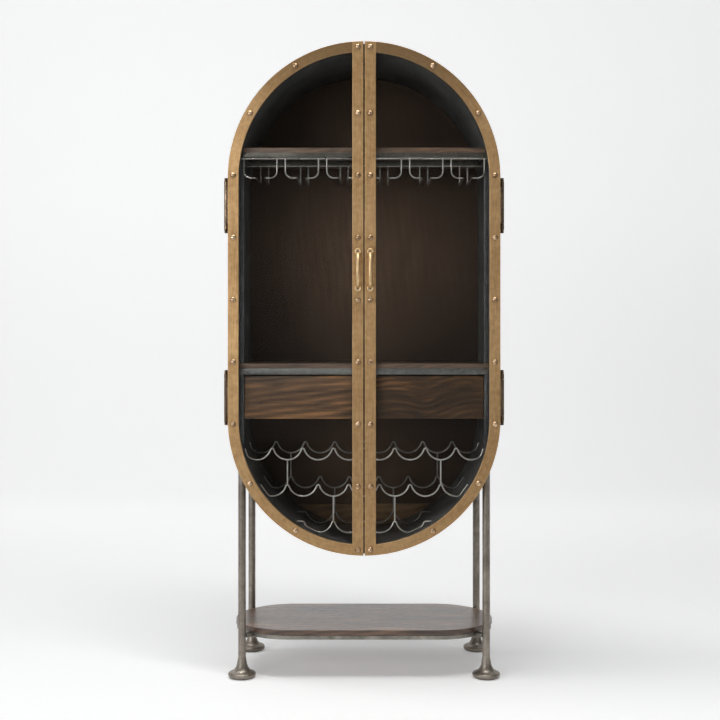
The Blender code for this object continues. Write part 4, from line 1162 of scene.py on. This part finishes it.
@dataclass
class CaseShell:
    """The pill-shaped skin, its front rim, the liner, the back and the board low on the back."""

    wall: float = 0.002
    rim_inset: float = 0.0023
    liner_wall: float = 0.0015
    rounding: float = 0.0007
    liner_rounding: float = 0.0004
    bevel: float = 0.0008

    def ring(self, node: str, outer: float, wall: float, finish: MetalFinish, rounding: float) -> None:
        """Sweeps one ring of the case in place of its solid.

        Args:
            node: The solid that the ring stands for.
            outer: The outer radius of its ends.
            wall: Its wall's thickness.
            finish: Its finish.
            rounding: The radius of its wall's corners.
        """
        low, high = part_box(node)
        mesh = grown("pill_ring", mesh_of("places", []), finish, {
            "End Radius": outer, "Straight Half": STRAIGHT_HALF, "Centre Height": CENTRE_HEIGHT, "Wall": wall,
            "Front": low[1], "Depth": high[1] - low[1], "Rounding": rounding, "Steps": 4 * ARC_STEPS})
        STORE.keep(node + "_sweep", mesh, finish, node)

    def build(self) -> None:
        """Builds the case's pieces."""
        radius = CASE_RADIUS - self.rim_inset
        self.ring("outer_skin", CASE_RADIUS, self.wall, SKIN_STEEL, self.rounding)
        self.ring("front_rim", radius, radius - INTERIOR_RADIUS, BLACK_STEEL, self.rounding)
        self.ring("inner_liner", INTERIOR_RADIUS + self.liner_wall, self.liner_wall, BLACK_STEEL,
                  self.liner_rounding)
        low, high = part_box("back_panel")
        board = plate("back_board", pill(radius, STRAIGHT_HALF, CENTRE_HEIGHT), low[1], high[1])
        STORE.keep("back_board", board, BACK_WOOD, "back_panel", bevel=self.bevel)
        STORE.refine("lower_back_board", BROWN_WOOD, self.bevel)
        STORE.refine("door_catch", BLACK_STEEL, self.bevel)


@dataclass
class Shelves:
    """The two inner shelves, their steel fronts and the upright strips."""

    board_bevel: float = 0.0012
    steel_bevel: float = 0.0007

    def build(self) -> None:
        """Builds the shelves' pieces."""
        for node in ("upper_shelf_board", "middle_shelf_board"):
            STORE.refine(node, SHELF_WOOD, self.board_bevel)
        STORE.refine("upper_shelf_frame", FRAME_STEEL, self.steel_bevel)
        STORE.refine("middle_shelf_band", SHELF_STEEL, self.steel_bevel)
        for side in Side:
            for level in ("upper", "lower"):
                STORE.refine(f"{side.label}_{level}_upright", DARK_STEEL, self.steel_bevel)


@dataclass
class StemwareRack:
    """Two rails and the bent wires that make six channels with an open slot each."""

    rail_radius: float = 0.003
    wire_radius: float = 0.0025
    rail_height: float = 1.6339
    floor: float = 1.5727
    rail_half: float = 0.385347
    pitch: float = 0.130479
    channel_half: float = 0.051996
    slot_half: float = 0.013
    corner: float = 0.022
    turn: float = 0.008
    channels: int = 6
    bend_steps: int = 10

    def path(self, centre: float, side: int, front: float, back: float) -> list[Point3]:
        """Returns one bent wire: down from the front rail, in, back and up to the rear rail.

        Args:
            centre: The middle of the channel across the front.
            side: The wire's side of the channel, as a sign.
            front: The front rail's depth.
            back: The rear rail's depth.

        Returns:
            The wire's points.
        """
        outer = centre + side * self.channel_half
        slot = centre + side * self.slot_half
        points = [(outer, front, self.rail_height)]
        for across, up in arc((0.0, 0.0), self.corner, 0, -90, self.bend_steps):
            points.append((outer + side * (across - self.corner), front, self.floor + self.corner + up))
        for across, along in arc((0.0, 0.0), self.turn, -90, -180, self.bend_steps):
            points.append((slot + side * (across + self.turn), front + self.turn + along, self.floor))
        for along, up in arc((0.0, 0.0), self.turn, -90, 0, self.bend_steps):
            points.append((slot, back - self.turn + along, self.floor + self.turn + up))
        return points + [(slot, back, self.rail_height)]

    def build(self) -> None:
        """Builds the rack in place of its solid."""
        low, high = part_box("stemware_rack")
        front, back = low[1] + self.rail_radius, high[1] - self.rail_radius
        rails = [[(end * self.rail_half, depth, self.rail_height) for end in (-1, 1)]
                 for depth in (front, back)]
        centres = [(count - (self.channels - 1) / 2) * self.pitch for count in range(self.channels)]
        wires = [self.path(centre, side.value, front, back) for centre in centres for side in Side]
        meshes = [wire_mesh(paths, radius, WIRE_STEEL)
                  for paths, radius in ((rails, self.rail_radius), (wires, self.wire_radius))]
        STORE.keep("stemware_wires", joined("stemware_wires", meshes), WIRE_STEEL, "stemware_rack",
                   smooth_angle=WIRE_ANGLE)


@dataclass
class WineRack:
    """Three wavy wires at the front and three behind, with posts between the rows."""

    pitch: float = 0.097026
    scallop: float = 0.036191
    crest_radius: float = 0.005
    wire_radius: float = 0.0025
    clear_radius: float = 0.391163
    counts: tuple[int, int, int] = (8, 7, 4)
    posts: tuple[float, float] = (2.5, 1.0)
    bowl_steps: int = 16
    crest_steps: int = 6

    def inside(self, across: float, up: float) -> Point2:
        """Returns a point drawn in towards the middle until the wire clears the liner.

        Args:
            across: The point's place across the front.
            up: The point's height.

        Returns:
            The point, drawn in where it has to be.
        """
        middle = min(max(up, CENTRE_HEIGHT - STRAIGHT_HALF), CENTRE_HEIGHT + STRAIGHT_HALF)
        reach = math.hypot(across, up - middle)
        share = min(1.0, (self.clear_radius - self.wire_radius) / max(reach, 0.001))
        return across * share, middle + (up - middle) * share

    def path(self, crest: float, count: int, depth: float) -> list[Point3]:
        """Returns one wavy wire's points, against the liner at both ends.

        Args:
            crest: The height of the wire's crests.
            count: How many scallops it has.
            depth: Its place along Y.

        Returns:
            The wire's points.
        """
        rise, small = self.scallop, self.crest_radius
        bowl = ((self.pitch / 2) ** 2 + rise ** 2 - 2 * rise * small) / (2 * rise)
        sweep = math.degrees(math.asin(self.pitch / 2 / (bowl + small)))
        points: list[Point2] = []
        for number in range(count):
            middle = (number - (count - 1) / 2) * self.pitch
            points += arc((middle, crest - rise + bowl), bowl, -90 - sweep, -90 + sweep, self.bowl_steps)
            if number < count - 1:
                points += arc((middle + self.pitch / 2, crest - small), small, 90 + sweep, 90 - sweep,
                              self.crest_steps)[1:-1]
        points = [self.inside(across, up) for across, up in points]
        end = half_width(crest - self.wire_radius, self.clear_radius)
        if end - count / 2 * self.pitch > small:
            top = (count / 2 * self.pitch, crest - small)
            over = arc(top, small, 90 + sweep, 90, self.crest_steps)[1:] + [(end, crest)]
            points = [(-across, up) for across, up in reversed(over)] + points + over
        return [(across, depth, up) for across, up in points]

    def build(self) -> None:
        """Builds the six rows in place of their solids."""
        # The front rows take the lit copy of the wire and the rear rows the shaded copy: painted light and
        # painted shade.
        for place, finish in (("front", LIT_WINE_WIRE), ("rear", SHADED_REAR_WIRE)):
            names = [f"{place}_wine_row_{row}" for row in ("upper", "middle", "lower")]
            crests = [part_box(name)[1][2] - self.wire_radius for name in names]
            depth = middle_of(names[0])[1]
            for row, name in enumerate(names):
                paths = [self.path(crests[row], self.counts[row], depth)]
                if row < len(self.posts):
                    foot = crests[row + 1] + self.wire_radius + GAP
                    across = self.posts[row] * self.pitch
                    paths += [[(side.value * across, depth, up) for up in (crests[row] - self.scallop, foot)]
                              for side in Side]
                STORE.keep(name + "_wire", wire_mesh(paths, self.wire_radius, finish), finish, name,
                           smooth_angle=WIRE_ANGLE)


@dataclass
class Drawers:
    """The divider, and for each side a front, a box and two runners."""

    front_bevel: float = 0.0014
    box_bevel: float = 0.0008

    def build(self) -> None:
        """Builds the drawers' pieces."""
        STORE.refine("drawer_divider", SHELF_WOOD, self.box_bevel)
        for side in Side:
            drawer = f"{side.label}_drawer"
            STORE.refine(drawer + "_front", DRAWER_WOOD[side], self.front_bevel, drawer)
            STORE.refine(drawer + "_box", BOX_WOOD, self.box_bevel, drawer)
            for runner in ("_runner_outer", "_runner_inner"):
                STORE.refine(drawer + runner, BOX_WOOD, self.box_bevel)


@dataclass
class Legs:
    """Four round legs welded under the case, each in a flared, turned foot."""

    foot_radius: float = 0.0438
    foot_height: float = 0.066
    foot_sides: int = 72
    foot_steps: int = 6
    weld_radius: float = 0.0016
    tube_bevel: float = 0.0004
    tube_angle: float = 40.0
    foot_shares: tuple[Point2, ...] = (
        (0.0, 1.0), (0.045, 0.86), (0.14, 0.62), (0.28, 0.46), (0.50, 0.34), (0.80, 0.275),
        (0.95, 0.23), (1.0, 0.17), (0.96, 0.09), (0.86, 0.03), (0.74, 0.0))

    def top(self, across: float) -> float:
        """Returns how high a leg reaches at a place across the front, where it meets the case."""
        return CENTRE_HEIGHT - STRAIGHT_HALF - math.sqrt((CASE_RADIUS + GAP) ** 2 - across ** 2)

    def build_leg(self, name: str) -> None:
        """Builds a leg, the weld bead at its top and its foot.

        Args:
            name: The leg's side and row.
        """
        x, y, _ = middle_of(name + "_leg")
        ring = circle((x, y), LEG_RADIUS)
        foot_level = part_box(name + "_leg")[0][2]
        tube = prism(name + "_tube", [(across, along, foot_level) for across, along in ring],
                     [(across, along, self.top(across)) for across, along in ring])
        STORE.keep(name + "_tube", tube, PEWTER, name + "_leg", bevel=self.tube_bevel,
                   smooth_angle=self.tube_angle)
        bead = [(across, along, self.top(across) - self.weld_radius)
                for across, along in circle((x, y), LEG_RADIUS - self.weld_radius / 2)]
        STORE.keep(name + "_weld", wire_mesh([bead], self.weld_radius, PEWTER, closed=True), PEWTER,
                   smooth_angle=HEAD_ANGLE)
        profile = [(LEG_RADIUS + share * (self.foot_radius - LEG_RADIUS), rise * self.foot_height)
                   for share, rise in self.foot_shares]
        smooth = [(0.0, self.foot_height), *flowing(profile, self.foot_steps), (0.0, 0.0)]
        STORE.keep(name + "_flared_foot", turned("foot", smooth, upright(x, y, 0.0), self.foot_sides), PEWTER,
                   name + "_foot", smooth_angle=WIRE_ANGLE)

    def build(self) -> None:
        """Builds the four legs."""
        for row in ("front", "back"):
            for side in Side:
                self.build_leg(f"{side.label}_{row}")


@dataclass
class LowerShelf:
    """The open wooden shelf between the legs, the steel ring below its edge and the ring's lugs."""

    end_radius: float = 0.188
    straight: float = 0.232
    ring_radius: float = 0.185
    ring_bar: float = 0.012
    lug_width: float = 0.018
    lug_height: float = 0.012
    board_bevel: float = 0.0022
    ring_bevel: float = 0.0016

    def outline(self, radius: float, shift: float) -> list[Point2]:
        """Returns the shelf's outline at an end radius, as (across, along)."""
        return [(up, across + shift) for across, up in pill(radius, self.straight, 0.0)]

    def lugs(self, height: float, middle: float) -> list[bpy.types.Mesh]:
        """Returns the four lugs that reach from the ring to the legs.

        Args:
            height: The lugs' height.
            middle: The shelf's middle along Y.

        Returns:
            The four meshes.
        """
        leg_x, leg_y, _ = middle_of("right_back_leg")
        leg_y -= middle
        reach = math.hypot(leg_x - self.straight, leg_y)
        start, half, rise = self.ring_radius - self.ring_bar / 2, self.lug_width / 2, self.lug_height / 2
        meshes = []
        for deep in (-1, 1):
            for side in Side:
                lug = block("lug", (start, -half, -rise), (reach - LEG_RADIUS, half, rise))
                angle = math.atan2(deep * leg_y, side.value * (leg_x - self.straight))
                place = upright(side.value * self.straight, middle, height)
                lug.transform(place @ Matrix.Rotation(angle, 4, "Z"))
                meshes.append(lug)
        return meshes

    def build(self) -> None:
        """Builds the board and the ring."""
        low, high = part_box("lower_shelf_board")
        middle = (low[1] + high[1]) / 2
        ring = self.outline(self.end_radius, middle)
        board = prism("board", *([(*point, height) for point in ring] for height in (low[2], high[2])))
        STORE.keep("lower_board", board, LOWER_WOOD, "lower_shelf_board", bevel=self.board_bevel)
        low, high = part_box("lower_shelf_ring")
        outer, inner = (self.outline(radius, middle)
                        for radius in (self.ring_radius, self.ring_radius - self.ring_bar))
        rings = [[(*point, height) for point in line] for line, height in
                 ((outer, high[2]), (outer, low[2]), (inner, low[2]), (inner, high[2]))]
        meshes = [looped("ring", rings), *self.lugs((low[2] + high[2]) / 2, middle)]
        STORE.keep("lower_ring", joined("lower_ring", meshes), RING_STEEL, "lower_shelf_ring",
                   bevel=self.ring_bevel)


@dataclass
class Hinge:
    """One hinge: a leaf on the case, a leaf on the door, and a pin with turned finials."""

    side: Side
    level: str
    barrel: float = 0.0065
    pin: float = 0.003
    knuckle: float = 0.018
    knuckle_gap: float = 0.0005
    leaf: float = 0.0025
    leaf_setback: float = 0.0018
    web_setback: float = 0.0022
    web_inset: float = 0.001
    bevel: float = 0.0004
    screw_shift: float = 0.004
    screw_shares: tuple[float, ...] = (-0.8, -0.27, 0.27, 0.8)
    screw_radius: float = 0.0036
    screw_depth: float = 0.0016
    screw_seed: int = 5
    finial: float = 0.0115
    finial_steps: int = 5
    finial_angle: float = 45.0
    finial_shares: tuple[Point2, ...] = (
        (0.60, 0.97), (0.90, 0.82), (0.88, 0.62), (0.62, 0.54), (0.96, 0.44), (0.96, 0.20), (0.70, 0.12),
        (0.97, 0.0))

    def __post_init__(self) -> None:
        """Takes the hinge's place and height from its solids."""
        self.stem = f"{self.side.label}_{self.level}"
        self.x, self.y, self.middle = middle_of(self.stem + "_hinge_pin")
        low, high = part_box(self.stem + "_case_leaf")
        self.half = (high[2] - low[2]) / 2

    def inner_face(self, node: str) -> float:
        """Returns where across the front a leaf's face nearest the cabinet's middle lies."""
        low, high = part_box(node)
        return low[0] if self.side is Side.RIGHT else high[0]

    def build_case_leaf(self) -> None:
        """Builds the leaf on the case with its two knuckles, and its screws."""
        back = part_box(self.stem + "_case_leaf")[1][1]
        inner = self.inner_face(self.stem + "_case_leaf")
        outer = inner + self.side.value * self.leaf
        meshes = [block("leaf", (inner, self.y + self.leaf_setback, self.middle - self.half),
                        (outer, back, self.middle + self.half))]
        web_front = self.y + self.web_setback
        for end in (-1, 1):
            start = self.middle + (self.half - self.knuckle if end > 0 else -self.half)
            meshes.append(rod("knuckle", self.barrel, self.knuckle, upright(self.x, self.y, start)))
            meshes.append(block("web", (inner, web_front, start + self.web_inset),
                                (self.x, web_front + self.leaf, start + self.knuckle - self.web_inset)))
        STORE.keep(self.stem + "_fixed_leaf", joined("leaf", meshes), HINGE_BRASS, self.stem + "_case_leaf",
                   bevel=self.bevel)
        across = (self.y + back) / 2 + self.screw_shift
        places = [(outer, across, self.middle + share * self.half) for share in self.screw_shares]
        screws = grown("screws", mesh_of("places", places), HINGE_BRASS, {
            "Radius": self.screw_radius, "Depth": self.screw_depth,
            "Facing": (0.0, self.side.value * math.pi / 2, 0.0), "Seed": self.screw_seed + self.side.value})
        STORE.keep(self.stem + "_screws", screws, HINGE_BRASS)

    def build_door_leaf(self) -> None:
        """Builds the leaf on the door with its knuckle."""
        node = self.stem + "_door_leaf"
        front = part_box(node)[0][1]
        inner = self.inner_face(node)
        reach = self.half - self.knuckle - self.knuckle_gap
        low, high = self.middle - reach, self.middle + reach
        meshes = [rod("knuckle", self.barrel, 2 * reach, upright(self.x, self.y, low)),
                  block("leaf", (inner, front, low), (inner + self.side.value * self.leaf, self.y, high))]
        STORE.keep(self.stem + "_moving_leaf", joined("leaf", meshes), HINGE_BRASS, node,
                   body=f"{self.side.label}_door", bevel=self.bevel)

    def build_pin(self) -> None:
        """Builds the pin with a turned finial at each end."""
        seat = self.half + GAP
        points = [(share * self.barrel, seat + rise * self.finial) for share, rise in self.finial_shares]
        profile = [(0.0, seat + self.finial), *flowing(points, self.finial_steps), (self.pin, seat)]
        profile += [(radius, -height) for radius, height in reversed(profile)]
        pin = turned("pin", profile, upright(self.x, self.y, self.middle))
        STORE.keep(self.stem + "_pin", pin, HINGE_BRASS, self.stem + "_hinge_pin",
                   smooth_angle=self.finial_angle)

    def build(self) -> None:
        """Builds the hinge's three pieces and its screws."""
        self.build_case_leaf()
        self.build_door_leaf()
        self.build_pin()


@dataclass
class Door:
    """One glazed door: frame, rivets, glass, bead, bow handle and hinges."""

    side: Side
    meeting: float = 0.0019
    band: float = 0.034
    stile: float = 0.035
    thickness: float = 0.020
    rebate: float = 0.010
    rebate_depth: float = 0.007
    frame_bevel: float = 0.0012
    pane_bevel: float = 0.0006
    bead_bevel: float = 0.0005
    rivet_radius: float = 0.009
    rivet_height: float = 0.0062
    rivet_first: float = 2.7
    rivet_pitch: float = 29.0
    rivet_straight: float = 0.194
    rivet_drop: float = 0.0045
    rivet_margin: float = 0.018
    rivet_seed: int = 11
    lug_radius: float = 0.0108
    lug_height: float = 0.006
    lug_half_spacing: float = 0.057
    lug_sink: float = 0.70
    bar_radius: float = 0.0066
    bar_end_share: float = 0.86
    bow_reach: float = 0.0302
    bow_steps: int = 40
    handle_angle: float = 40.0
    screw_radius: float = 0.0036
    screw_depth: float = 0.0014
    screw_seed: int = 21
    lug_profile: tuple[Point2, ...] = (
        (0.944, 0.0), (1.0, 0.133), (1.0, 0.60), (0.907, 0.867), (0.759, 1.0), (0.574, 0.95), (0.463, 0.733),
        (0.0, 0.733))

    @property
    def body(self) -> str:
        """The body that the door's pieces ride on."""
        return self.side.label + "_door"

    def outline(self, inset_band: float, inset_stile: float) -> list[Point2]:
        """Returns the door's outline drawn in by one width at the band and another at the stile.

        Args:
            inset_band: The width at the band.
            inset_stile: The width at the stile.

        Returns:
            The outline's points, as (across, up).
        """
        radius = DOOR_RADIUS - inset_band
        lean = math.asin((self.meeting + inset_stile) / radius)
        turns = [lean + (math.pi / 2 - lean) * step / ARC_STEPS for step in range(ARC_STEPS + 1)]
        quarter = [(self.side.value * radius * math.sin(turn), STRAIGHT_HALF + radius * math.cos(turn))
                   for turn in turns]
        top = [(across, CENTRE_HEIGHT + up) for across, up in quarter]
        return top + [(across, CENTRE_HEIGHT - up) for across, up in reversed(quarter)]

    def rings(self, *corners: Point3) -> list[list[Point3]]:
        """Returns rings at corners, each given as its inset at the band, at the stile, and its depth."""
        return [[(across, depth, up) for across, up in self.outline(inset_band, inset_stile)]
                for inset_band, inset_stile, depth in corners]

    def rivets(self) -> list[Point2]:
        """Returns the places of the rivet heads.

        Returns:
            The places, as (across, up).
        """
        across = self.meeting + self.stile / 2
        stile_half = STRAIGHT_HALF + DOOR_RADIUS - self.rivet_margin
        middle = CENTRE_HEIGHT - self.rivet_drop
        places = [(across, middle + step * self.rivet_straight) for step in range(-3, 4)]
        places += [(across, CENTRE_HEIGHT + end * stile_half) for end in (-1, 1)]
        radius = DOOR_RADIUS - self.band / 2
        for end in (-1, 1):
            for step in (1, 2):
                angle = math.radians(self.rivet_first + step * self.rivet_pitch)
                places.append((radius * math.sin(angle),
                               CENTRE_HEIGHT + end * (STRAIGHT_HALF + radius * math.cos(angle))))
        places += [(radius, middle + step * self.rivet_straight) for step in range(-2, 3)]
        return [(self.side.value * x, z) for x, z in places]

    def build_frame(self) -> None:
        """Builds the riveted frame."""
        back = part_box(self.body + "_frame")[1][1]
        front, step = back - self.thickness, back - self.rebate_depth
        seat = (self.band - self.rebate, self.stile - self.rebate)
        rings = self.rings((0.0, 0.0, front), (self.band, self.stile, front), (self.band, self.stile, step),
                           (*seat, step), (*seat, back), (0.0, 0.0, back))
        STORE.keep(self.side.label + "_frame", looped("frame", rings), AGED_BRASS, self.body + "_frame",
                   body=self.body, bevel=self.frame_bevel)
        places = mesh_of("places", [(across, front, up) for across, up in self.rivets()])
        heads = grown("heads", places, RIVET_BRASS, {
            "Radius": self.rivet_radius, "Height": self.rivet_height, "Turn": math.pi / 2,
            "Seed": self.rivet_seed + self.side.value})
        STORE.keep(self.side.label + "_rivets", heads, RIVET_BRASS, body=self.body, smooth_angle=HEAD_ANGLE)

    def build_glass(self) -> None:
        """Builds the pane and the bead behind it."""
        inset = self.rebate - GAP
        edge = (self.band - inset, self.stile - inset)
        low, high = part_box(self.body + "_glass")
        pane = plate("pane", self.outline(*edge), low[1], high[1])
        STORE.keep(self.side.label + "_pane", pane, CLEAR_GLASS, self.body + "_glass", body=self.body,
                   bevel=self.pane_bevel)
        node = self.side.label + "_glazing_bead"
        low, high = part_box(node)
        rings = self.rings((*edge, low[1]), (self.band, self.stile, low[1]), (self.band, self.stile, high[1]),
                           (*edge, high[1]))
        STORE.keep(self.side.label + "_bead", looped("bead", rings), BLACK_STEEL, node, body=self.body,
                   bevel=self.bead_bevel)

    def build_handle(self) -> None:
        """Builds the bow handle with its two lugs and their screws."""
        node = self.side.label + "_handle"
        x, _, middle = middle_of(node)
        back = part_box(node)[1][1]
        half = self.lug_half_spacing - self.lug_sink * self.lug_radius
        points, shares = [], []
        for step in range(self.bow_steps + 1):
            angle = math.pi * (step / self.bow_steps - 0.5)
            bow = math.cos(angle)
            depth = back - self.lug_height / 2 - self.bow_reach * bow
            points.append((x, depth, middle + half * math.sin(angle)))
            shares.append(self.bar_end_share + (1 - self.bar_end_share) * bow)
        meshes = [wire_mesh([points], self.bar_radius, POLISHED_BRASS, shares)]
        profile = [(0.0, 0.0)] + [(share * self.lug_radius, rise * self.lug_height)
                                  for share, rise in self.lug_profile]
        heights = [middle + end * self.lug_half_spacing for end in (-1, 1)]
        meshes += [turned("lug", profile, facing(x, back, height)) for height in heights]
        STORE.keep(self.side.label + "_bow_handle", joined("handle", meshes), POLISHED_BRASS, node,
                   body=self.body, smooth_angle=self.handle_angle)
        depth = back - self.lug_height + self.screw_depth
        places = mesh_of("places", [(x, depth, height) for height in heights])
        screws = grown("screws", places, HINGE_BRASS, {
            "Radius": self.screw_radius, "Depth": self.screw_depth, "Facing": (math.pi / 2, 0.0, 0.0),
            "Seed": self.screw_seed + self.side.value})
        STORE.keep(self.side.label + "_handle_screws", screws, HINGE_BRASS, body=self.body)

    def build(self) -> None:
        """Builds the whole door."""
        self.build_frame()
        self.build_glass()
        self.build_handle()
        for level in ("upper", "lower"):
            Hinge(self.side, level).build()


# ---- Studio


@dataclass(frozen=True)
class Lamp:
    """A soft lamp, of a width and a height, that points at the cabinet's middle."""

    name: str
    place: Point3
    size: Point2
    watts: float
    colour: Colour = (1.0, 1.0, 1.0)
    target: Point3 = (0.0, 0.0, 1.0)

    def build(self) -> None:
        """Adds the lamp."""
        light = bpy.data.lights.new(self.name, "AREA")
        light.shape = "RECTANGLE"
        light.size, light.size_y = self.size
        light.energy = self.watts
        light.color = self.colour
        item = bpy.data.objects.new(self.name, light)
        item.location = self.place
        aim = Vector(self.target) - Vector(self.place)
        item.rotation_euler = aim.to_track_quat("-Z", "Y").to_euler()
        bpy.context.scene.collection.objects.link(item)


@dataclass
class Studio:
    """A pale floor that curves up into the backdrop, soft lamps and the camera."""

    distance: float = 3.65
    eye_height: float = 1.062
    lens: float = 58.58
    sensor: float = 36.0
    shift_x: float = -0.0057
    shift_y: float = -0.0272
    drawer_setback: float = 0.0375
    half_room: float = 12.0
    room_front: float = -9.0
    room_height: float = 9.0
    bend_start: float = 4.2
    bend_radius: float = 2.2
    bend_steps: int = 24
    pale_level: float = 0.86
    dark_level: float = 0.10
    dark_makeup: float = 0.38
    paper_roughness: float = 0.9
    paper_gloss: float = 0.1
    # The paper's glow is painted light: its strength across the floor, up the wall and near the front, and
    # how far each reaches
    glow_reach: float = 2.4
    glow_left: float = 0.20
    glow_right: float = 0.25
    wall_left: float = 0.315
    wall_right: float = 0.215
    near_edge: float = 0.3
    far_edge: float = 3.9
    dark_edge: float = -1.8
    front_edge: float = -0.7
    near_span: Point2 = (-0.8, 0.4)
    near_left: float = 0.0
    near_right: float = 0.04
    world_level: float = 0.60
    seen_level: float = 0.9
    world_colour: Colour = (0.98, 0.985, 1.0)
    side_span: Point2 = (-0.9, 0.9)
    high_span: Point2 = (0.04, 0.22)
    ahead_span: Point2 = (-0.75, 0.1)
    right_share: float = 0.14
    front_share: float = 2.8
    high_share: float = 0.02
    lamps: tuple[Lamp, ...] = (
        Lamp("key", (-2.7, -3.8, 1.9), (2.8, 1.4), 70.0, (0.97, 0.985, 1.0)),
        Lamp("fill", (2.9, -3.6, 1.6), (2.6, 2.6), 15.0),
        Lamp("top", (-0.4, -0.75, 5.0), (4.8, 0.7), 145.0))

    def paper(self) -> bpy.types.Material:
        """Builds the backdrop's pale paper: dark far in front, with a glow of painted light that evens what
        is seen, stronger up the wall on the left and along the floor on the right.

        Returns:
            The material.
        """
        material, bench, shader, place = started_material("backdrop_paper", Grain.UP)
        x, y, _ = bench.split(place)
        behind = bench.span(y, self.dark_edge, self.front_edge, shape=SMOOTH)
        camera, glossy, through = bench.take(
            "ShaderNodeLightPath", None, "Is Camera Ray", "Is Glossy Ray", "Is Transmission Ray")
        seen = bench.math("MAXIMUM", bench.math("MAXIMUM", camera, glossy * behind), through)
        # Painted light: the glow is graded across the floor, up the wall and near the front, and makes up for
        # the dark front.
        sides = (-self.glow_reach, self.glow_reach)
        slope = bench.span(x, *sides, self.glow_left, self.glow_right)
        rise = bench.span(y, self.near_edge, self.far_edge, shape=SMOOTH)
        rise = rise * bench.span(x, *sides, self.wall_left, self.wall_right)
        near = bench.span(y, self.front_edge, self.near_edge, 1.0, 0.0, SMOOTH)
        near = near * bench.span(x, *self.near_span, self.near_left, self.near_right)
        makeup = bench.span(behind, 0.0, 1.0, self.dark_makeup, 0.0)
        bench.feed(shader, {
            "Base Color": bench.blend(behind, (self.dark_level,) * 3, (self.pale_level,) * 3),
            "Roughness": self.paper_roughness, "Specular IOR Level": self.paper_gloss,
            "Emission Color": solid((1.0, 1.0, 1.0)),
            "Emission Strength": seen * (slope + rise + (near + makeup))})
        return material

    def backdrop(self) -> None:
        """Builds the floor and the wall behind it as one curved sheet; its paper's painted glow makes the
        wall a little paler on the left.
        """
        bend = arc((self.bend_start, self.bend_radius), self.bend_radius, -90, 0, self.bend_steps)
        line = [(self.room_front, 0.0), *bend, (self.bend_start + self.bend_radius, self.room_height)]
        points = [(across, along, up) for across in (-self.half_room, self.half_room) for along, up in line]
        count = len(line)
        mesh = bpy.data.meshes.new("backdrop")
        mesh.from_pydata(points, [], [(at, at + 1, count + at + 1, count + at) for at in range(count - 1)])
        mesh.shade_smooth()
        item = bpy.data.objects.new("backdrop", mesh)
        bpy.context.scene.collection.objects.link(item)
        mesh.materials.append(self.paper())

    def surroundings(self) -> None:
        """Builds the world: pale to the left, dim to the right, and in front bright only low down."""
        world = bpy.data.worlds.new("studio")
        bpy.context.scene.world = world
        world.use_nodes = True
        bench = TreeBench(world.node_tree)
        x, y, z = bench.split(bench.take("ShaderNodeTexCoord", None, "Generated"))
        side = bench.span(x, *self.side_span, 1.0, self.right_share)
        high = bench.span(z, *self.high_span, self.front_share, self.high_share, SMOOTH)
        ahead = bench.span(y, *self.ahead_span, 1.0, 0.0)
        level = side * (ahead * high + bench.math("SUBTRACT", 1.0, ahead)) * self.world_level
        camera = bench.take("ShaderNodeLightPath", None, "Is Camera Ray")
        bench.feed(world.node_tree.nodes["Background"], {
            "Color": solid(self.world_colour),
            "Strength": bench.math("MAXIMUM", level, camera * self.seen_level)})

    def camera(self) -> None:
        """Adds the camera, upright and level, in front of the doors."""
        camera = bpy.data.objects.new("camera", bpy.data.cameras.new("camera"))
        camera.data.lens = self.lens
        camera.data.sensor_width = self.sensor
        camera.data.shift_x = self.shift_x
        camera.data.shift_y = self.shift_y
        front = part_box("left_drawer_front")[0][1] - self.drawer_setback
        camera.location = (0.0, front - self.distance, self.eye_height)
        camera.rotation_euler = (math.pi / 2, 0.0, 0.0)
        bpy.context.scene.collection.objects.link(camera)
        bpy.context.scene.camera = camera
        bpy.context.scene.view_settings.view_transform = "Standard"

    def build(self) -> None:
        """Builds the stage, the light and the camera."""
        self.backdrop()
        self.surroundings()
        for lamp in self.lamps:
            lamp.build()
        self.camera()


def main() -> None:
    """Builds every sub-assembly in order."""
    logging.basicConfig(level=logging.INFO, format="%(message)s")
    parts = (CaseShell(), Shelves(), StemwareRack(), WineRack(), Drawers(), Legs(), LowerShelf(),
             *(Door(side) for side in Side), Studio())
    for part in parts:
        LOG.info("building %s", type(part).__name__)
        part.build()


if __name__ == "__main__":
    main()
